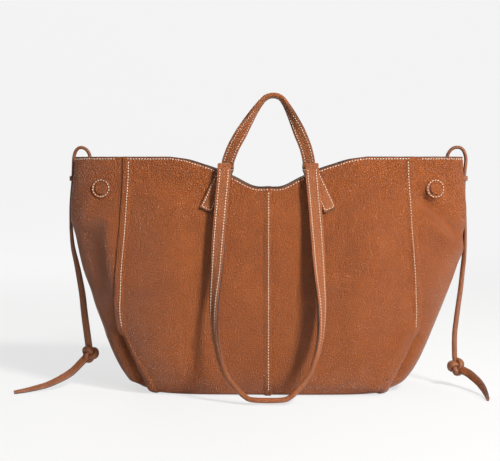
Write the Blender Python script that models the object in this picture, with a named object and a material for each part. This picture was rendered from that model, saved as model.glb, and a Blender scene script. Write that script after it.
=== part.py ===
"""Leather tote bag with flared wings, two handles and a knotted side lace at each end.

Metres, +Z up. The origin is the centre of the base's underside, and the front faces -Y.
The walls follow one loft: rounded-rectangle sections whose half length, half depth and
corner power change with height. Every wall panel, facing, tab and button is laid on it.
"""

import math

import bmesh
import bpy
import numpy as np
from mathutils import Vector

# Driving sizes of the bag
BAG_HEIGHT = 0.282
BAG_WIDTH = 0.492
BASE_LENGTH = 0.300
BASE_DEPTH = 0.144
BELLY_DEPTH = 0.162
MOUTH_DEPTH = 0.090
RIM_DIP = 0.037
DIP_HALF_LENGTH = 0.118
SEAM_HALF_SPACING = 0.3579 * BAG_WIDTH
PLEAT_DEPTH = 0.015
PLEAT_HALF_WIDTH = 0.008

# Leather, laps and running gaps
LEATHER = 0.002
CLEARANCE = 0.0003
SEAT_GAP = 0.0007
SEAM_LAP = 0.006
CENTRE_LAP = 0.004
UNDERLAP = 0.001
LAP_RAMP = 0.005

# Inner pieces
BOARD_THICKNESS = 0.003
BOARD_INSET = 0.004
FACING_DEPTH = 0.020
FACING_THICKNESS = 0.0012
FACING_SETBACK = 0.001

# Round magnetic buttons in the wings
BUTTON_FROM_CENTRE = SEAM_HALF_SPACING + 0.0514 * BAG_WIDTH
BUTTON_HEIGHT = BAG_HEIGHT - 0.038
BUTTON_RADIUS = 0.0118
BUTTON_LEATHER = 0.0012
BOSS_RADIUS = 0.0075
BOSS_HEIGHT = 0.001
MAGNET_RADIUS = 0.0065
MAGNET_THICKNESS = 0.0025
MAGNET_SEAT_GAP = 0.0007

# Handles
STRAP_WIDTH = 0.016
STRAP_THICKNESS = 0.0032
GRIP_WIDTH = 0.0095
GRIP_THICKNESS = 0.0062
FOLD_RADIUS = 0.0038
FOLD_HEIGHT = BAG_HEIGHT - 0.011
FOLD_HALF_SPACING = 0.052
TAB_TOP_GAP = 0.0009
TAB_FOOT_DROP = 0.053
TAB_FOOT_SPREAD = 0.0215
SHOULDER_LOOP_HALF_WIDTH = 0.062
SHOULDER_LOOP_REACH = 0.118
CARRY_ARCH_RISE = 0.090
CARRY_ARCH_LEAN = 0.0065

# Side laces, with their knots, keepers and anchors
LACE_DIAMETER = 0.005
KNOT_HALF_HEIGHT = 0.011
KNOT_HALF_WIDTH = 0.010
KEEPER_HEIGHT = 0.006
KEEPER_LEATHER = 0.0014
KEEPER_BAND_GAP = 0.0004
KEEPER_LEVEL = BAG_HEIGHT - 0.026
KEEPER_SEARCH = 0.012
ANCHOR_HEIGHT = 0.014
ANCHOR_WIDTH = 0.010
ANCHOR_TOP = BAG_HEIGHT - 0.014
ANCHOR_THICKNESS = 0.0076
TAIL_ROOT_WIDTH = 0.0105
TAIL_TIP_WIDTH = 0.0045
TAIL_ROOT_THICKNESS = 0.0044
TAIL_TIP_THICKNESS = 0.0026

# Profiles along the height, as shares: (share of bag height, share of the named change). The
# seam's is its distance from the centre as a share of the wall's half length at that height
WIDENING_SHARES = ((0.0, 0.0), (0.025, 0.128), (0.075, 0.267), (0.13, 0.373), (0.196, 0.472),
                   (0.30, 0.604), (0.407, 0.732), (0.513, 0.850), (0.62, 0.933), (0.70, 0.982),
                   (0.79, 1.0), (0.909, 0.981), (1.0, 0.969))
BELLY_SHARES = ((0.0, 0.0), (0.06, 0.55), (0.20, 1.0), (1.0, 1.0))
CLOSING_SHARES = ((0.0, 0.0), (0.25, 0.0), (0.43, 0.06), (0.57, 0.22), (0.71, 0.47),
                  (0.87, 0.84), (1.0, 1.0))
SQUARENESS_SHARES = ((0.0, 1.0), (0.11, 0.65), (0.28, 0.30), (0.50, 0.10), (0.71, 0.0),
                     (1.0, 0.0))
SEAM_SHARES = ((0.0, 0.8977), (0.035, 0.8369), (0.07, 0.8221), (0.115, 0.8226), (0.16, 0.8321),
               (0.25, 0.8491), (0.32, 0.8368), (0.41, 0.7972), (0.5, 0.7603), (0.6, 0.7275),
               (0.71, 0.6994), (0.85, 0.6923), (1.0, 0.6954))
PLEAT_SHARES = ((0.0, 0.0), (0.28, 0.0), (0.55, 1.0), (1.0, 1.0))
DIP_SHARES = ((0.0, 1.0), (0.13, 0.99), (0.36, 0.65), (0.54, 0.39), (0.70, 0.22),
              (0.87, 0.06), (1.0, 0.0))
BASE_CORNER_POWER = 4.5
RIM_CORNER_POWER = 2.5

# Routes of the two handles, as shares of their own half width, rise or drop and reach
LOOP_WIDTH_SHARES = (0.847, 0.88, 0.923, 0.957, 1.0, 0.968, 0.863, 0.747, 0.565, 0.427, 0.258)
LOOP_DROP_SHARES = (0.055, 0.15, 0.30, 0.45, 0.61, 0.74, 0.845, 0.905, 0.955, 0.985, 1.0)
LOOP_REACH_SHARES = (0.11, 0.23, 0.42, 0.58, 0.70, 0.79, 0.87, 0.92, 0.96, 0.99, 1.0)
LOOP_TURN_SHARES = (0.0, 0.0, 0.03, 0.12, 0.26, 0.46, 0.62, 0.76, 0.85, 0.92, 0.97, 1.0)
ARCH_WIDTH_SHARES = (0.985, 0.89, 0.735, 0.56, 0.39, 0.225, 0.08)
ARCH_RISE_SHARES = (0.10, 0.27, 0.46, 0.655, 0.825, 0.955, 1.0)
ARCH_TURN_SHARES = (0.0, 0.0, 0.06, 0.20, 0.45, 0.70, 0.90, 1.0)
GRIP_SHARES = (0.0, 0.45, 0.80, 1.0)
GRIP_AMOUNT_SHARES = (0.0, 0.0, 0.75, 1.0)
LOOP_TURN = math.radians(78)
ARCH_TURN = math.radians(68)

# Mesh density
PANEL_COLUMNS = 12
PANEL_ROWS = 18
END_COLUMNS = 30
BASE_POINTS = 64
BUTTON_POINTS = 24

# Routes of the laces: (distance out past half the bag's width, depth, share of the bag's
# height), up out of the mouth, over the wing and down to the knot, then along the flat tail
LACE_ROUTE_LEFT = (
    (-0.0252, 0.0, 0.9514), (-0.0253, 0.0, 0.9716), (-0.0254, 0.0, 0.9911),
    (-0.0247, 0.0, 1.0106), (-0.0224, 0.0, 1.0273), (-0.0190, 0.0, 1.0387),
    (-0.0144, 0.0, 1.0440), (-0.0095, 0.0, 1.0376), (-0.0063, 0.0, 1.0170),
    (-0.0049, 0.0, 0.9887), (-0.0042, 0.0, 0.9358), (-0.0034, 0.0, 0.8830),
    (-0.0019, 0.0, 0.8303), (-0.0009, 0.0, 0.7775), (-0.0008, -0.0005, 0.7248),
    (-0.0012, -0.0010, 0.6721), (-0.0032, -0.0015, 0.6020), (-0.0076, -0.0020, 0.5318),
    (-0.0115, -0.0030, 0.4620), (-0.0148, -0.0040, 0.3922), (-0.0171, -0.0060, 0.3230),
    (-0.0200, -0.0090, 0.2547), (-0.0232, -0.0117, 0.1808), (-0.0238, -0.0123, 0.1669))
LACE_ROUTE_RIGHT = (
    (-0.0252, 0.0, 0.9514), (-0.0253, 0.0, 0.9716), (-0.0254, 0.0, 0.9911),
    (-0.0247, 0.0, 1.0106), (-0.0220, 0.0, 1.0280), (-0.0180, 0.0, 1.0397),
    (-0.0125, 0.0, 1.0440), (-0.0070, 0.0, 1.0376), (-0.0036, 0.0, 1.0170),
    (-0.0022, 0.0, 0.9887), (-0.0034, 0.0, 0.9358), (-0.0043, 0.0, 0.8830),
    (-0.0042, 0.0, 0.8303), (-0.0033, -0.0005, 0.7776), (-0.0025, -0.0005, 0.7072),
    (-0.0025, -0.0010, 0.6370), (-0.0032, -0.0015, 0.5668), (-0.0052, -0.0020, 0.4967),
    (-0.0072, -0.0030, 0.4269), (-0.0099, -0.0040, 0.3571), (-0.0127, -0.0060, 0.2880),
    (-0.0150, -0.0085, 0.2194), (-0.0152, -0.0113, 0.1292), (-0.0146, -0.0117, 0.1153))
KNOT_LEFT = (-0.0251, -0.0135, 0.1375)
KNOT_RIGHT = (-0.0133, -0.0125, 0.0846)
TAIL_ROUTE_LEFT = (
    (-0.0194, -0.0180, 0.1174), (-0.0168, -0.0201, 0.1080), (-0.0054, -0.0290, 0.0679),
    (0.0069, -0.0400, 0.0437), (0.0201, -0.0480, 0.0255), (0.0306, -0.0545, 0.0177),
    (0.0438, -0.0615, 0.0105), (0.0560, -0.0690, 0.0072))
TAIL_ROUTE_RIGHT = (
    (-0.0079, -0.0196, 0.0763), (-0.0054, -0.0230, 0.0725), (-0.0002, -0.0300, 0.0643),
    (0.0066, -0.0500, 0.0447), (0.0094, -0.0660, 0.0274), (0.0097, -0.0820, 0.0128),
    (0.0086, -0.0960, 0.0067))


def smooth_table(value, shares):
    """Read a table through a cubic curve whose slope at each point is that of its neighbours."""
    xs = np.array([pair[0] for pair in shares])
    ys = np.array([pair[1] for pair in shares])
    slopes = np.gradient(ys, xs)
    flat = np.concatenate(([False], (ys[1:-1] - ys[:-2]) * (ys[2:] - ys[1:-1]) <= 0, [False]))
    slopes[flat] = 0.0
    place = np.clip(np.asarray(value, dtype=float), xs[0], xs[-1])
    index = np.clip(np.searchsorted(xs, place, side="right") - 1, 0, len(xs) - 2)
    step = xs[index + 1] - xs[index]
    t = (place - xs[index]) / step
    return ((2 * t ** 3 - 3 * t ** 2 + 1) * ys[index] + (t ** 3 - 2 * t ** 2 + t) * step * slopes[index]
            + (3 * t ** 2 - 2 * t ** 3) * ys[index + 1] + (t ** 3 - t ** 2) * step * slopes[index + 1])


def half_length(z):
    widening = smooth_table(z / BAG_HEIGHT, WIDENING_SHARES)
    return BASE_LENGTH / 2 + (BAG_WIDTH - BASE_LENGTH) / 2 * widening


def half_depth(z):
    share = z / BAG_HEIGHT
    bulge = (BELLY_DEPTH - BASE_DEPTH) / 2 * smooth_table(share, BELLY_SHARES)
    closing = (BELLY_DEPTH - MOUTH_DEPTH) / 2 * smooth_table(share, CLOSING_SHARES)
    return BASE_DEPTH / 2 + bulge - closing


def corner_power(z):
    squareness = smooth_table(z / BAG_HEIGHT, SQUARENESS_SHARES)
    return RIM_CORNER_POWER + (BASE_CORNER_POWER - RIM_CORNER_POWER) * squareness


def seam_half_spacing(z):
    return half_length(z) * smooth_table(z / BAG_HEIGHT, SEAM_SHARES)


def rim_height(x):
    return BAG_HEIGHT - RIM_DIP * smooth_table(np.abs(x) / DIP_HALF_LENGTH, DIP_SHARES)


def face_depth(x, z):
    """Depth of the front or back skin from the middle plane at x and z."""
    power = corner_power(z)
    reach = np.clip(np.abs(x) / half_length(z), 0.0, 1.0)
    return half_depth(z) * (1.0 - reach ** power) ** (1.0 / power)


def end_section(z, columns):
    """Points of the wing's section at one height, evenly spaced from front seam to back seam."""
    power = corner_power(z)
    length = half_length(z)
    depth = half_depth(z)
    start = (seam_half_spacing(z) - UNDERLAP) / length
    angle = np.linspace(1.0, -1.0, 801) * math.acos(start ** (power / 2))
    x = length * np.cos(angle) ** (2 / power)
    y = -depth * np.sign(angle) * np.abs(np.sin(angle)) ** (2 / power)
    pleat = PLEAT_DEPTH * smooth_table(z / BAG_HEIGHT, PLEAT_SHARES)
    x = x - pleat * np.exp(-(y / PLEAT_HALF_WIDTH) ** 2)
    travel = np.concatenate(([0.0], np.cumsum(np.hypot(np.diff(x), np.diff(y)))))
    even = np.linspace(0.0, travel[-1], columns)
    return np.interp(even, travel, x), np.interp(even, travel, y)


def grid_normals(points, outward):
    """Unit normals of a grid of points, turned to the side that outward points to."""
    across = np.gradient(points, axis=1)
    along = np.gradient(points, axis=0)
    normals = np.cross(across, along)
    normals /= np.linalg.norm(normals, axis=2, keepdims=True)
    flip = np.sign((normals * outward).sum(axis=2, keepdims=True))
    return normals * flip


def material(name, colour, roughness, metallic=0.0):
    made = bpy.data.materials.get(name)
    if made:
        return made
    made = bpy.data.materials.new(name)
    made.use_nodes = True
    shader = made.node_tree.nodes["Principled BSDF"]
    shader.inputs["Base Color"].default_value = (*colour, 1.0)
    shader.inputs["Roughness"].default_value = roughness
    shader.inputs["Metallic"].default_value = metallic
    return made


def tan_leather():
    return material("tan_leather", (0.36, 0.13, 0.05), 0.5)


def strap_leather():
    return material("strap_leather", (0.40, 0.16, 0.07), 0.48)


def inner_leather():
    return material("inner_leather", (0.22, 0.12, 0.07), 0.85)


def board_fibre():
    return material("board_fibre", (0.30, 0.24, 0.18), 0.9)


def magnet_steel():
    return material("magnet_steel", (0.55, 0.55, 0.56), 0.3, 1.0)


def add_object(name, mesh, finish):
    mesh.materials.append(finish)
    mesh.shade_smooth()
    mesh.set_sharp_from_angle(angle=math.radians(40))
    made = bpy.data.objects.new(name, mesh)
    bpy.context.collection.objects.link(made)
    return made


def sheet_object(name, points, outward, thickness, finish):
    """An open grid of points, with Solidify giving it its thickness on the inner side."""
    rows, columns = points.shape[:2]
    normals = grid_normals(points, outward)
    corner = np.arange(rows * columns).reshape(rows, columns)
    quads = np.stack((corner[:-1, :-1], corner[:-1, 1:], corner[1:, 1:], corner[1:, :-1]), axis=-1)
    first = np.cross(points[0, 1] - points[0, 0], points[1, 0] - points[0, 0])
    if np.dot(first, normals[0, 0]) < 0:
        quads = quads[..., ::-1]
    mesh = bpy.data.meshes.new(name)
    mesh.from_pydata(points.reshape(-1, 3).tolist(), [], quads.reshape(-1, 4).tolist())
    made = add_object(name, mesh, finish)
    wall = made.modifiers.new("leather", "SOLIDIFY")
    wall.thickness = thickness
    wall.offset = -1.0
    return made


def face_points(x, z, side):
    """Skin points at x and z; side is -1 on the front and 1 on the back."""
    return np.stack((x, side * face_depth(x, z), z), axis=-1)


def lifted(points, outward, lift):
    return points + grid_normals(points, outward) * lift[..., None]


def face_outward(points, side):
    return np.broadcast_to(np.array([0.0, side, 0.0]), points.shape)


def half_panel(name, side, hand, laps_centre):
    """Half of the front or back, from the centre seam to the wing seam, lapped over its neighbours."""
    full_lift = LEATHER + SEAT_GAP
    seam_columns = [(1.0, -UNDERLAP - LAP_RAMP, 0.0), (1.0, -UNDERLAP - CLEARANCE, 1.0),
                    (1.0, SEAM_LAP / 2, 1.0), (1.0, SEAM_LAP, 1.0)]
    if laps_centre:
        centre = [(0.0, -CENTRE_LAP, 1.0), (0.0, UNDERLAP + CLEARANCE, 1.0),
                  (0.0, UNDERLAP + LAP_RAMP, 0.0)]
        first = UNDERLAP + LAP_RAMP
    else:
        centre = [(0.0, -UNDERLAP, 0.0)]
        first = -UNDERLAP
    last = -UNDERLAP - LAP_RAMP
    inner = [(k / PANEL_COLUMNS, first + (last - first) * k / PANEL_COLUMNS, 0.0)
             for k in range(1, PANEL_COLUMNS)]
    share, shift, raised = (np.array(part) for part in zip(*(centre + inner + seam_columns)))
    foot = LEATHER + CLEARANCE
    rim = rim_height(share * seam_half_spacing(BAG_HEIGHT) + shift)
    rise = np.linspace(0.0, 1.0, PANEL_ROWS)[:, None]
    z = foot + rise * (rim[None, :] - foot)
    x = share[None, :] * seam_half_spacing(z) + shift[None, :]
    points = face_points(hand * x, z, side)
    outward = face_outward(points, side)
    lift = np.broadcast_to(raised * full_lift, z.shape)
    return sheet_object(name, lifted(points, outward, lift), outward, LEATHER, tan_leather())


def end_points(hand, levels, columns):
    rows = []
    for z in levels:
        x, y = end_section(z, columns)
        rows.append(np.stack((hand * x, y, np.full(columns, z)), axis=-1))
    return np.array(rows)


def end_outward(points, hand):
    middle = np.array([hand * SEAM_HALF_SPACING / 2, 0.0, 0.0])
    outward = points - middle
    outward[..., 2] = 0.0
    outward[..., 1] *= 2.0
    return outward


def side_panel(name, hand):
    levels = np.linspace(LEATHER + CLEARANCE, BAG_HEIGHT, PANEL_ROWS)
    points = end_points(hand, levels, END_COLUMNS)
    return sheet_object(name, points, end_outward(points, hand), LEATHER, tan_leather())


def face_facing(name, side):
    """Facing strip sewn inside the front or back rim, between the wing seams."""
    edge = seam_half_spacing(BAG_HEIGHT) - UNDERLAP - CLEARANCE
    x = np.linspace(-edge, edge, 2 * PANEL_COLUMNS + 1)
    rim = rim_height(x) - FACING_SETBACK
    z = rim[None, :] - np.array([[FACING_DEPTH], [FACING_DEPTH / 2], [0.0]])
    points = face_points(np.broadcast_to(x, z.shape), z, side)
    outward = face_outward(points, side)
    sunk = np.full(z.shape, -LEATHER - SEAT_GAP)
    return sheet_object(name, lifted(points, outward, sunk), outward, FACING_THICKNESS, inner_leather())


def end_facing(name, hand):
    top = BAG_HEIGHT - FACING_SETBACK
    points = end_points(hand, (top - FACING_DEPTH, top - FACING_DEPTH / 2, top), END_COLUMNS)
    outward = end_outward(points, hand)
    sunk = np.full(points.shape[:2], -LEATHER - SEAT_GAP)
    inset = lifted(points, outward, sunk)[:, 1:-1]
    return sheet_object(name, inset, outward[:, 1:-1], FACING_THICKNESS, inner_leather())


def base_outline(inset):
    power = BASE_CORNER_POWER
    angles = [2 * math.pi * k / BASE_POINTS for k in range(BASE_POINTS)]
    length = BASE_LENGTH / 2 - inset
    depth = BASE_DEPTH / 2 - inset
    return [(length * math.copysign(abs(math.cos(a)) ** (2 / power), math.cos(a)),
             depth * math.copysign(abs(math.sin(a)) ** (2 / power), math.sin(a))) for a in angles]


def plate(name, outline, bottom, thickness, finish):
    """A flat plate: the outline as a face, extruded upwards."""
    work = bmesh.new()
    corners = [work.verts.new((x, y, bottom)) for x, y in outline]
    face = work.faces.new(corners)
    made = bmesh.ops.extrude_face_region(work, geom=[face])
    raised = [part for part in made["geom"] if isinstance(part, bmesh.types.BMVert)]
    bmesh.ops.translate(work, verts=raised, vec=(0.0, 0.0, thickness))
    bmesh.ops.recalc_face_normals(work, faces=work.faces)
    mesh = bpy.data.meshes.new(name)
    work.to_mesh(mesh)
    work.free()
    return add_object(name, mesh, finish)


def button_cover(name, hand, side):
    """Round leather cover sewn on a wing, raised in the middle where the magnet lies."""
    radii = np.array([0.0, BOSS_RADIUS * 0.6, BOSS_RADIUS * 0.92, BOSS_RADIUS * 1.12, BUTTON_RADIUS])
    boss = np.array([1.0, 1.0, 1.0, 0.0, 0.0]) * BOSS_HEIGHT
    angles = np.linspace(0.0, 2 * math.pi, BUTTON_POINTS, endpoint=False)
    x = hand * BUTTON_FROM_CENTRE + radii[:, None] * np.cos(angles)
    z = BUTTON_HEIGHT + radii[:, None] * np.sin(angles)
    points = face_points(x, z, side)
    normal = button_normal(hand, side)
    lift = (SEAT_GAP + BUTTON_LEATHER + boss)[:, None, None]
    points = points + normal * lift
    work = bmesh.new()
    centre = work.verts.new(points[0, 0])
    rings = [[work.verts.new(point) for point in ring] for ring in points[1:]]
    for k in range(BUTTON_POINTS):
        after = (k + 1) % BUTTON_POINTS
        work.faces.new((centre, rings[0][k], rings[0][after]))
        for inner, outer in zip(rings[:-1], rings[1:]):
            work.faces.new((inner[k], outer[k], outer[after], inner[after]))
    work.normal_update()
    work.faces.ensure_lookup_table()
    if Vector(normal).dot(work.faces[0].normal) < 0:
        bmesh.ops.reverse_faces(work, faces=work.faces)
    mesh = bpy.data.meshes.new(name)
    work.to_mesh(mesh)
    work.free()
    made = add_object(name, mesh, tan_leather())
    wall = made.modifiers.new("leather", "SOLIDIFY")
    wall.thickness = BUTTON_LEATHER
    wall.offset = -1.0
    return made


def button_normal(hand, side):
    """Outward unit normal of the wing where the button sits."""
    x = hand * BUTTON_FROM_CENTRE + np.array([[-BOSS_RADIUS, BOSS_RADIUS]] * 2)
    z = BUTTON_HEIGHT + np.array([[-BOSS_RADIUS] * 2, [BOSS_RADIUS] * 2])
    points = face_points(x, z, side)
    return grid_normals(points, face_outward(points, side))[0, 0]


def magnet(name, hand, side):
    """Steel disc held behind the button cover, on the inner face of the wing."""
    x = np.array(hand * BUTTON_FROM_CENTRE)
    z = np.array(BUTTON_HEIGHT)
    normal = Vector(button_normal(hand, side))
    seat = LEATHER + MAGNET_SEAT_GAP + MAGNET_THICKNESS / 2
    centre = Vector(face_points(x, z, side)) - normal * seat
    work = bmesh.new()
    bmesh.ops.create_cone(work, cap_ends=True, segments=BUTTON_POINTS, radius1=MAGNET_RADIUS,
                          radius2=MAGNET_RADIUS, depth=MAGNET_THICKNESS)
    mesh = bpy.data.meshes.new(name)
    work.to_mesh(mesh)
    work.free()
    made = add_object(name, mesh, magnet_steel())
    made.location = centre
    made.rotation_euler = normal.to_track_quat("Z", "Y").to_euler()
    return made


def smooth_route(points, spacing):
    """Points an even step apart on the smooth curve through the given ones."""
    given = np.array(points, dtype=float)
    padded = np.vstack((2 * given[0] - given[1], given, 2 * given[-1] - given[-2]))
    t = np.linspace(0.0, 1.0, 24, endpoint=False)[:, None]
    pieces = []
    for k in range(1, len(padded) - 2):
        a, b, c, d = padded[k - 1:k + 3]
        pieces.append(0.5 * (2 * b + (c - a) * t + (2 * a - 5 * b + 4 * c - d) * t ** 2
                             + (3 * b - a - 3 * c + d) * t ** 3))
    dense = np.vstack(pieces + [given[-1:]])
    travel = np.concatenate(([0.0], np.cumsum(np.linalg.norm(np.diff(dense, axis=0), axis=1))))
    count = max(3, int(round(travel[-1] / spacing)) + 1)
    even = np.linspace(0.0, travel[-1], count)
    return np.stack([np.interp(even, travel, dense[:, axis]) for axis in range(3)], axis=1)


def strap_mesh(name, centres, faces_dir, widths, thicknesses):
    """A strap: a flat section with cut corners at each centre, square to the route."""
    tangents = np.gradient(centres, axis=0)
    tangents /= np.linalg.norm(tangents, axis=1, keepdims=True)
    facing = faces_dir - tangents * (faces_dir * tangents).sum(axis=1, keepdims=True)
    facing /= np.linalg.norm(facing, axis=1, keepdims=True)
    across = np.cross(facing, tangents)
    corner_share = 0.32
    outline = [(1, 1 - corner_share), (1, corner_share - 1), (0.9, -1), (-0.9, -1),
               (-1, corner_share - 1), (-1, 1 - corner_share), (-0.9, 1), (0.9, 1)]
    work = bmesh.new()
    rings = []
    for centre, wide, deep, w, t in zip(centres, across, facing, widths, thicknesses):
        rings.append([work.verts.new(centre + wide * (u * w / 2) + deep * (v * t / 2))
                      for u, v in outline])
    count = len(outline)
    for ring, after in zip(rings[:-1], rings[1:]):
        for k in range(count):
            step = (k + 1) % count
            work.faces.new((ring[k], after[k], after[step], ring[step]))
    work.faces.new(rings[0])
    work.faces.new(rings[-1][::-1])
    bmesh.ops.recalc_face_normals(work, faces=work.faces)
    mesh = bpy.data.meshes.new(name)
    work.to_mesh(mesh)
    work.free()
    return mesh


def fold_axis_depth():
    """Depth of the handles' turning axis from the middle plane."""
    skin = float(face_depth(np.array(FOLD_HALF_SPACING), np.array(FOLD_HEIGHT)))
    return skin + SEAT_GAP + FOLD_RADIUS


def handle_sections(length, place):
    """Width and thickness along a handle: rounded fold at each end, flat legs, narrow thick grip."""
    from_end = np.minimum(place, length - place) - FOLD_RADIUS
    grip = np.interp(np.minimum(place, length - place) / (length / 2), GRIP_SHARES, GRIP_AMOUNT_SHARES)
    width = STRAP_WIDTH + (GRIP_WIDTH - STRAP_WIDTH) * grip
    thick = STRAP_THICKNESS + (GRIP_THICKNESS - STRAP_THICKNESS) * grip
    bead = 2 * np.sqrt(np.clip(FOLD_RADIUS ** 2 - from_end ** 2, 0.0, None))
    return width, np.maximum(thick * (from_end > 0), bead)


def handle_stations(length):
    """Places along a handle: close together over each fold, then even."""
    fold = FOLD_RADIUS * np.array([0.08, 0.5, 1.0, 1.5, 1.9])
    even = np.linspace(fold[-1], length - fold[-1], 44)[1:-1]
    return np.concatenate((fold, even, length - fold[::-1]))


def handle(name, side, leg, lean, turn, turn_shares):
    """A handle whose legs are mirror images but for its lean, turned from flat legs to a grip.

    leg lists the points of the right leg from its fold to the middle of the handle.
    """
    axis = np.array([0.0, side * fold_axis_depth(), FOLD_HEIGHT])
    right = np.array(leg) + axis
    lead = right[1] - right[0]
    lead *= FOLD_RADIUS / np.linalg.norm(lead)
    right = np.vstack((right[0] - lead, right))
    left = right * np.array([-1.0, 1.0, 1.0])
    route = np.vstack((right, left[::-1]))
    route[:, 0] += lean * np.maximum(route[:, 2] - FOLD_HEIGHT, 0.0) / CARRY_ARCH_RISE
    dense = smooth_route(route, FOLD_RADIUS / 8)
    travel = np.concatenate(([0.0], np.cumsum(np.linalg.norm(np.diff(dense, axis=0), axis=1))))
    stations = handle_stations(travel[-1])
    centres = np.stack([np.interp(stations, travel, dense[:, k]) for k in range(3)], axis=1)
    knots = np.linspace(0.0, 0.5, len(turn_shares))
    share = np.minimum(stations, travel[-1] - stations) / travel[-1]
    angle = turn * np.interp(share, knots, turn_shares)
    tangents = np.gradient(centres, axis=0)
    tangents /= np.linalg.norm(tangents, axis=1, keepdims=True)
    outer = np.cross(tangents, np.array([0.0, 1.0, 0.0]))
    middle = centres.mean(axis=0)
    outer *= np.sign((outer * (centres - middle)).sum(axis=1, keepdims=True))
    front = np.array([0.0, float(side), 0.0])
    facing = np.cos(angle)[:, None] * front + np.sin(angle)[:, None] * outer
    widths, thicknesses = handle_sections(travel[-1], stations)
    mesh = strap_mesh(name, centres - axis, facing, widths, thicknesses)
    made = add_object(name, mesh, strap_leather())
    made.location = axis
    return made


def shoulder_leg():
    """Right leg of the long strap, measured from the fold axis: forward and down to the floor."""
    drop = FOLD_HEIGHT - CLEARANCE - GRIP_WIDTH / 2
    reach = SHOULDER_LOOP_REACH - fold_axis_depth()
    leg = [(FOLD_HALF_SPACING, 0.0, 0.0), (FOLD_HALF_SPACING, -FOLD_RADIUS * 0.75, -FOLD_RADIUS * 0.5)]
    leg += [(SHOULDER_LOOP_HALF_WIDTH * w, -reach * r, -drop * d)
            for w, d, r in zip(LOOP_WIDTH_SHARES, LOOP_DROP_SHARES, LOOP_REACH_SHARES)]
    return leg


def carry_leg():
    """Right leg of the short handle, measured from the fold axis: up and in to the arch."""
    lean = FOLD_RADIUS - STRAP_THICKNESS / 2
    leg = [(FOLD_HALF_SPACING, 0.0, 0.0), (FOLD_HALF_SPACING, -lean * 0.6, FOLD_RADIUS * 0.9)]
    leg += [(FOLD_HALF_SPACING * w, -lean, CARRY_ARCH_RISE * r)
            for w, r in zip(ARCH_WIDTH_SHARES, ARCH_RISE_SHARES)]
    return leg


def tab(name, hand, side):
    """End of a handle sewn flat to the panel, leaning outwards from its fold."""
    rows = 7
    rise = np.linspace(0.0, 1.0, rows)[:, None]
    across = np.linspace(-0.5, 0.5, 5)[None, :] * STRAP_WIDTH
    top = FOLD_HEIGHT - FOLD_RADIUS - TAB_TOP_GAP
    foot = FOLD_HEIGHT - TAB_FOOT_DROP
    lean = math.atan2(TAB_FOOT_SPREAD, top - foot) * (1.0 - rise) ** 0.5
    x = FOLD_HALF_SPACING + TAB_FOOT_SPREAD * (1.0 - rise) + across * np.cos(lean)
    z = foot + (top - foot) * rise + across * np.sin(lean)
    points = face_points(hand * x, z, side)
    outward = face_outward(points, side)
    raised = np.full(z.shape, SEAT_GAP + STRAP_THICKNESS)
    return sheet_object(name, lifted(points, outward, raised), outward, STRAP_THICKNESS, strap_leather())


def beside_wing(route, hand):
    """Route points at the wing of that hand, from their table of distances and height shares."""
    return [(hand * (BAG_WIDTH / 2 + out), depth, rise * BAG_HEIGHT) for out, depth, rise in route]


def lace(name, route):
    points = smooth_route(route, 2.4 * LACE_DIAMETER)
    curve = bpy.data.curves.new(name, "CURVE")
    curve.dimensions = "3D"
    curve.bevel_depth = LACE_DIAMETER / 2
    curve.bevel_resolution = 2
    curve.use_fill_caps = True
    spline = curve.splines.new("POLY")
    spline.points.add(len(points) - 1)
    for target, point in zip(spline.points, points):
        target.co = (*point, 1.0)
    curve.materials.append(strap_leather())
    made = bpy.data.objects.new(name, curve)
    bpy.context.collection.objects.link(made)
    return made


def knot(name, centre, lace_end, tail_start):
    """The knot as one rounded lump, cut flat where the lace enters and where its tail leaves."""
    middle = Vector(centre)
    work = bmesh.new()
    bmesh.ops.create_icosphere(work, subdivisions=3, radius=1.0)
    bmesh.ops.scale(work, verts=work.verts, vec=(KNOT_HALF_WIDTH, KNOT_HALF_WIDTH, KNOT_HALF_HEIGHT))
    for end in (Vector(lace_end), Vector(tail_start)):
        direction = (end - middle).normalized()
        cut = direction * ((end - middle).length - CLEARANCE)
        cutter = bmesh.ops.bisect_plane(work, geom=work.verts[:] + work.edges[:] + work.faces[:],
                                        plane_co=cut, plane_no=direction, clear_outer=True)
        rim = [part for part in cutter["geom_cut"] if isinstance(part, bmesh.types.BMEdge)]
        bmesh.ops.contextual_create(work, geom=rim)
    bmesh.ops.recalc_face_normals(work, faces=work.faces)
    mesh = bpy.data.meshes.new(name)
    work.to_mesh(mesh)
    work.free()
    made = add_object(name, mesh, strap_leather())
    made.location = middle
    return made


def tail(name, route):
    """The lace's flat end, narrowing from the knot to its tip on the floor."""
    centres = smooth_route(route, TAIL_ROOT_WIDTH / 2)
    share = np.linspace(0.0, 1.0, len(centres))
    widths = TAIL_ROOT_WIDTH + (TAIL_TIP_WIDTH - TAIL_ROOT_WIDTH) * share ** 2
    thicknesses = TAIL_ROOT_THICKNESS + (TAIL_TIP_THICKNESS - TAIL_ROOT_THICKNESS) * share
    up = np.broadcast_to(np.array([0.0, -0.6, 1.0]), centres.shape)
    return add_object(name, strap_mesh(name, centres, up, widths, thicknesses), strap_leather())


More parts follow.
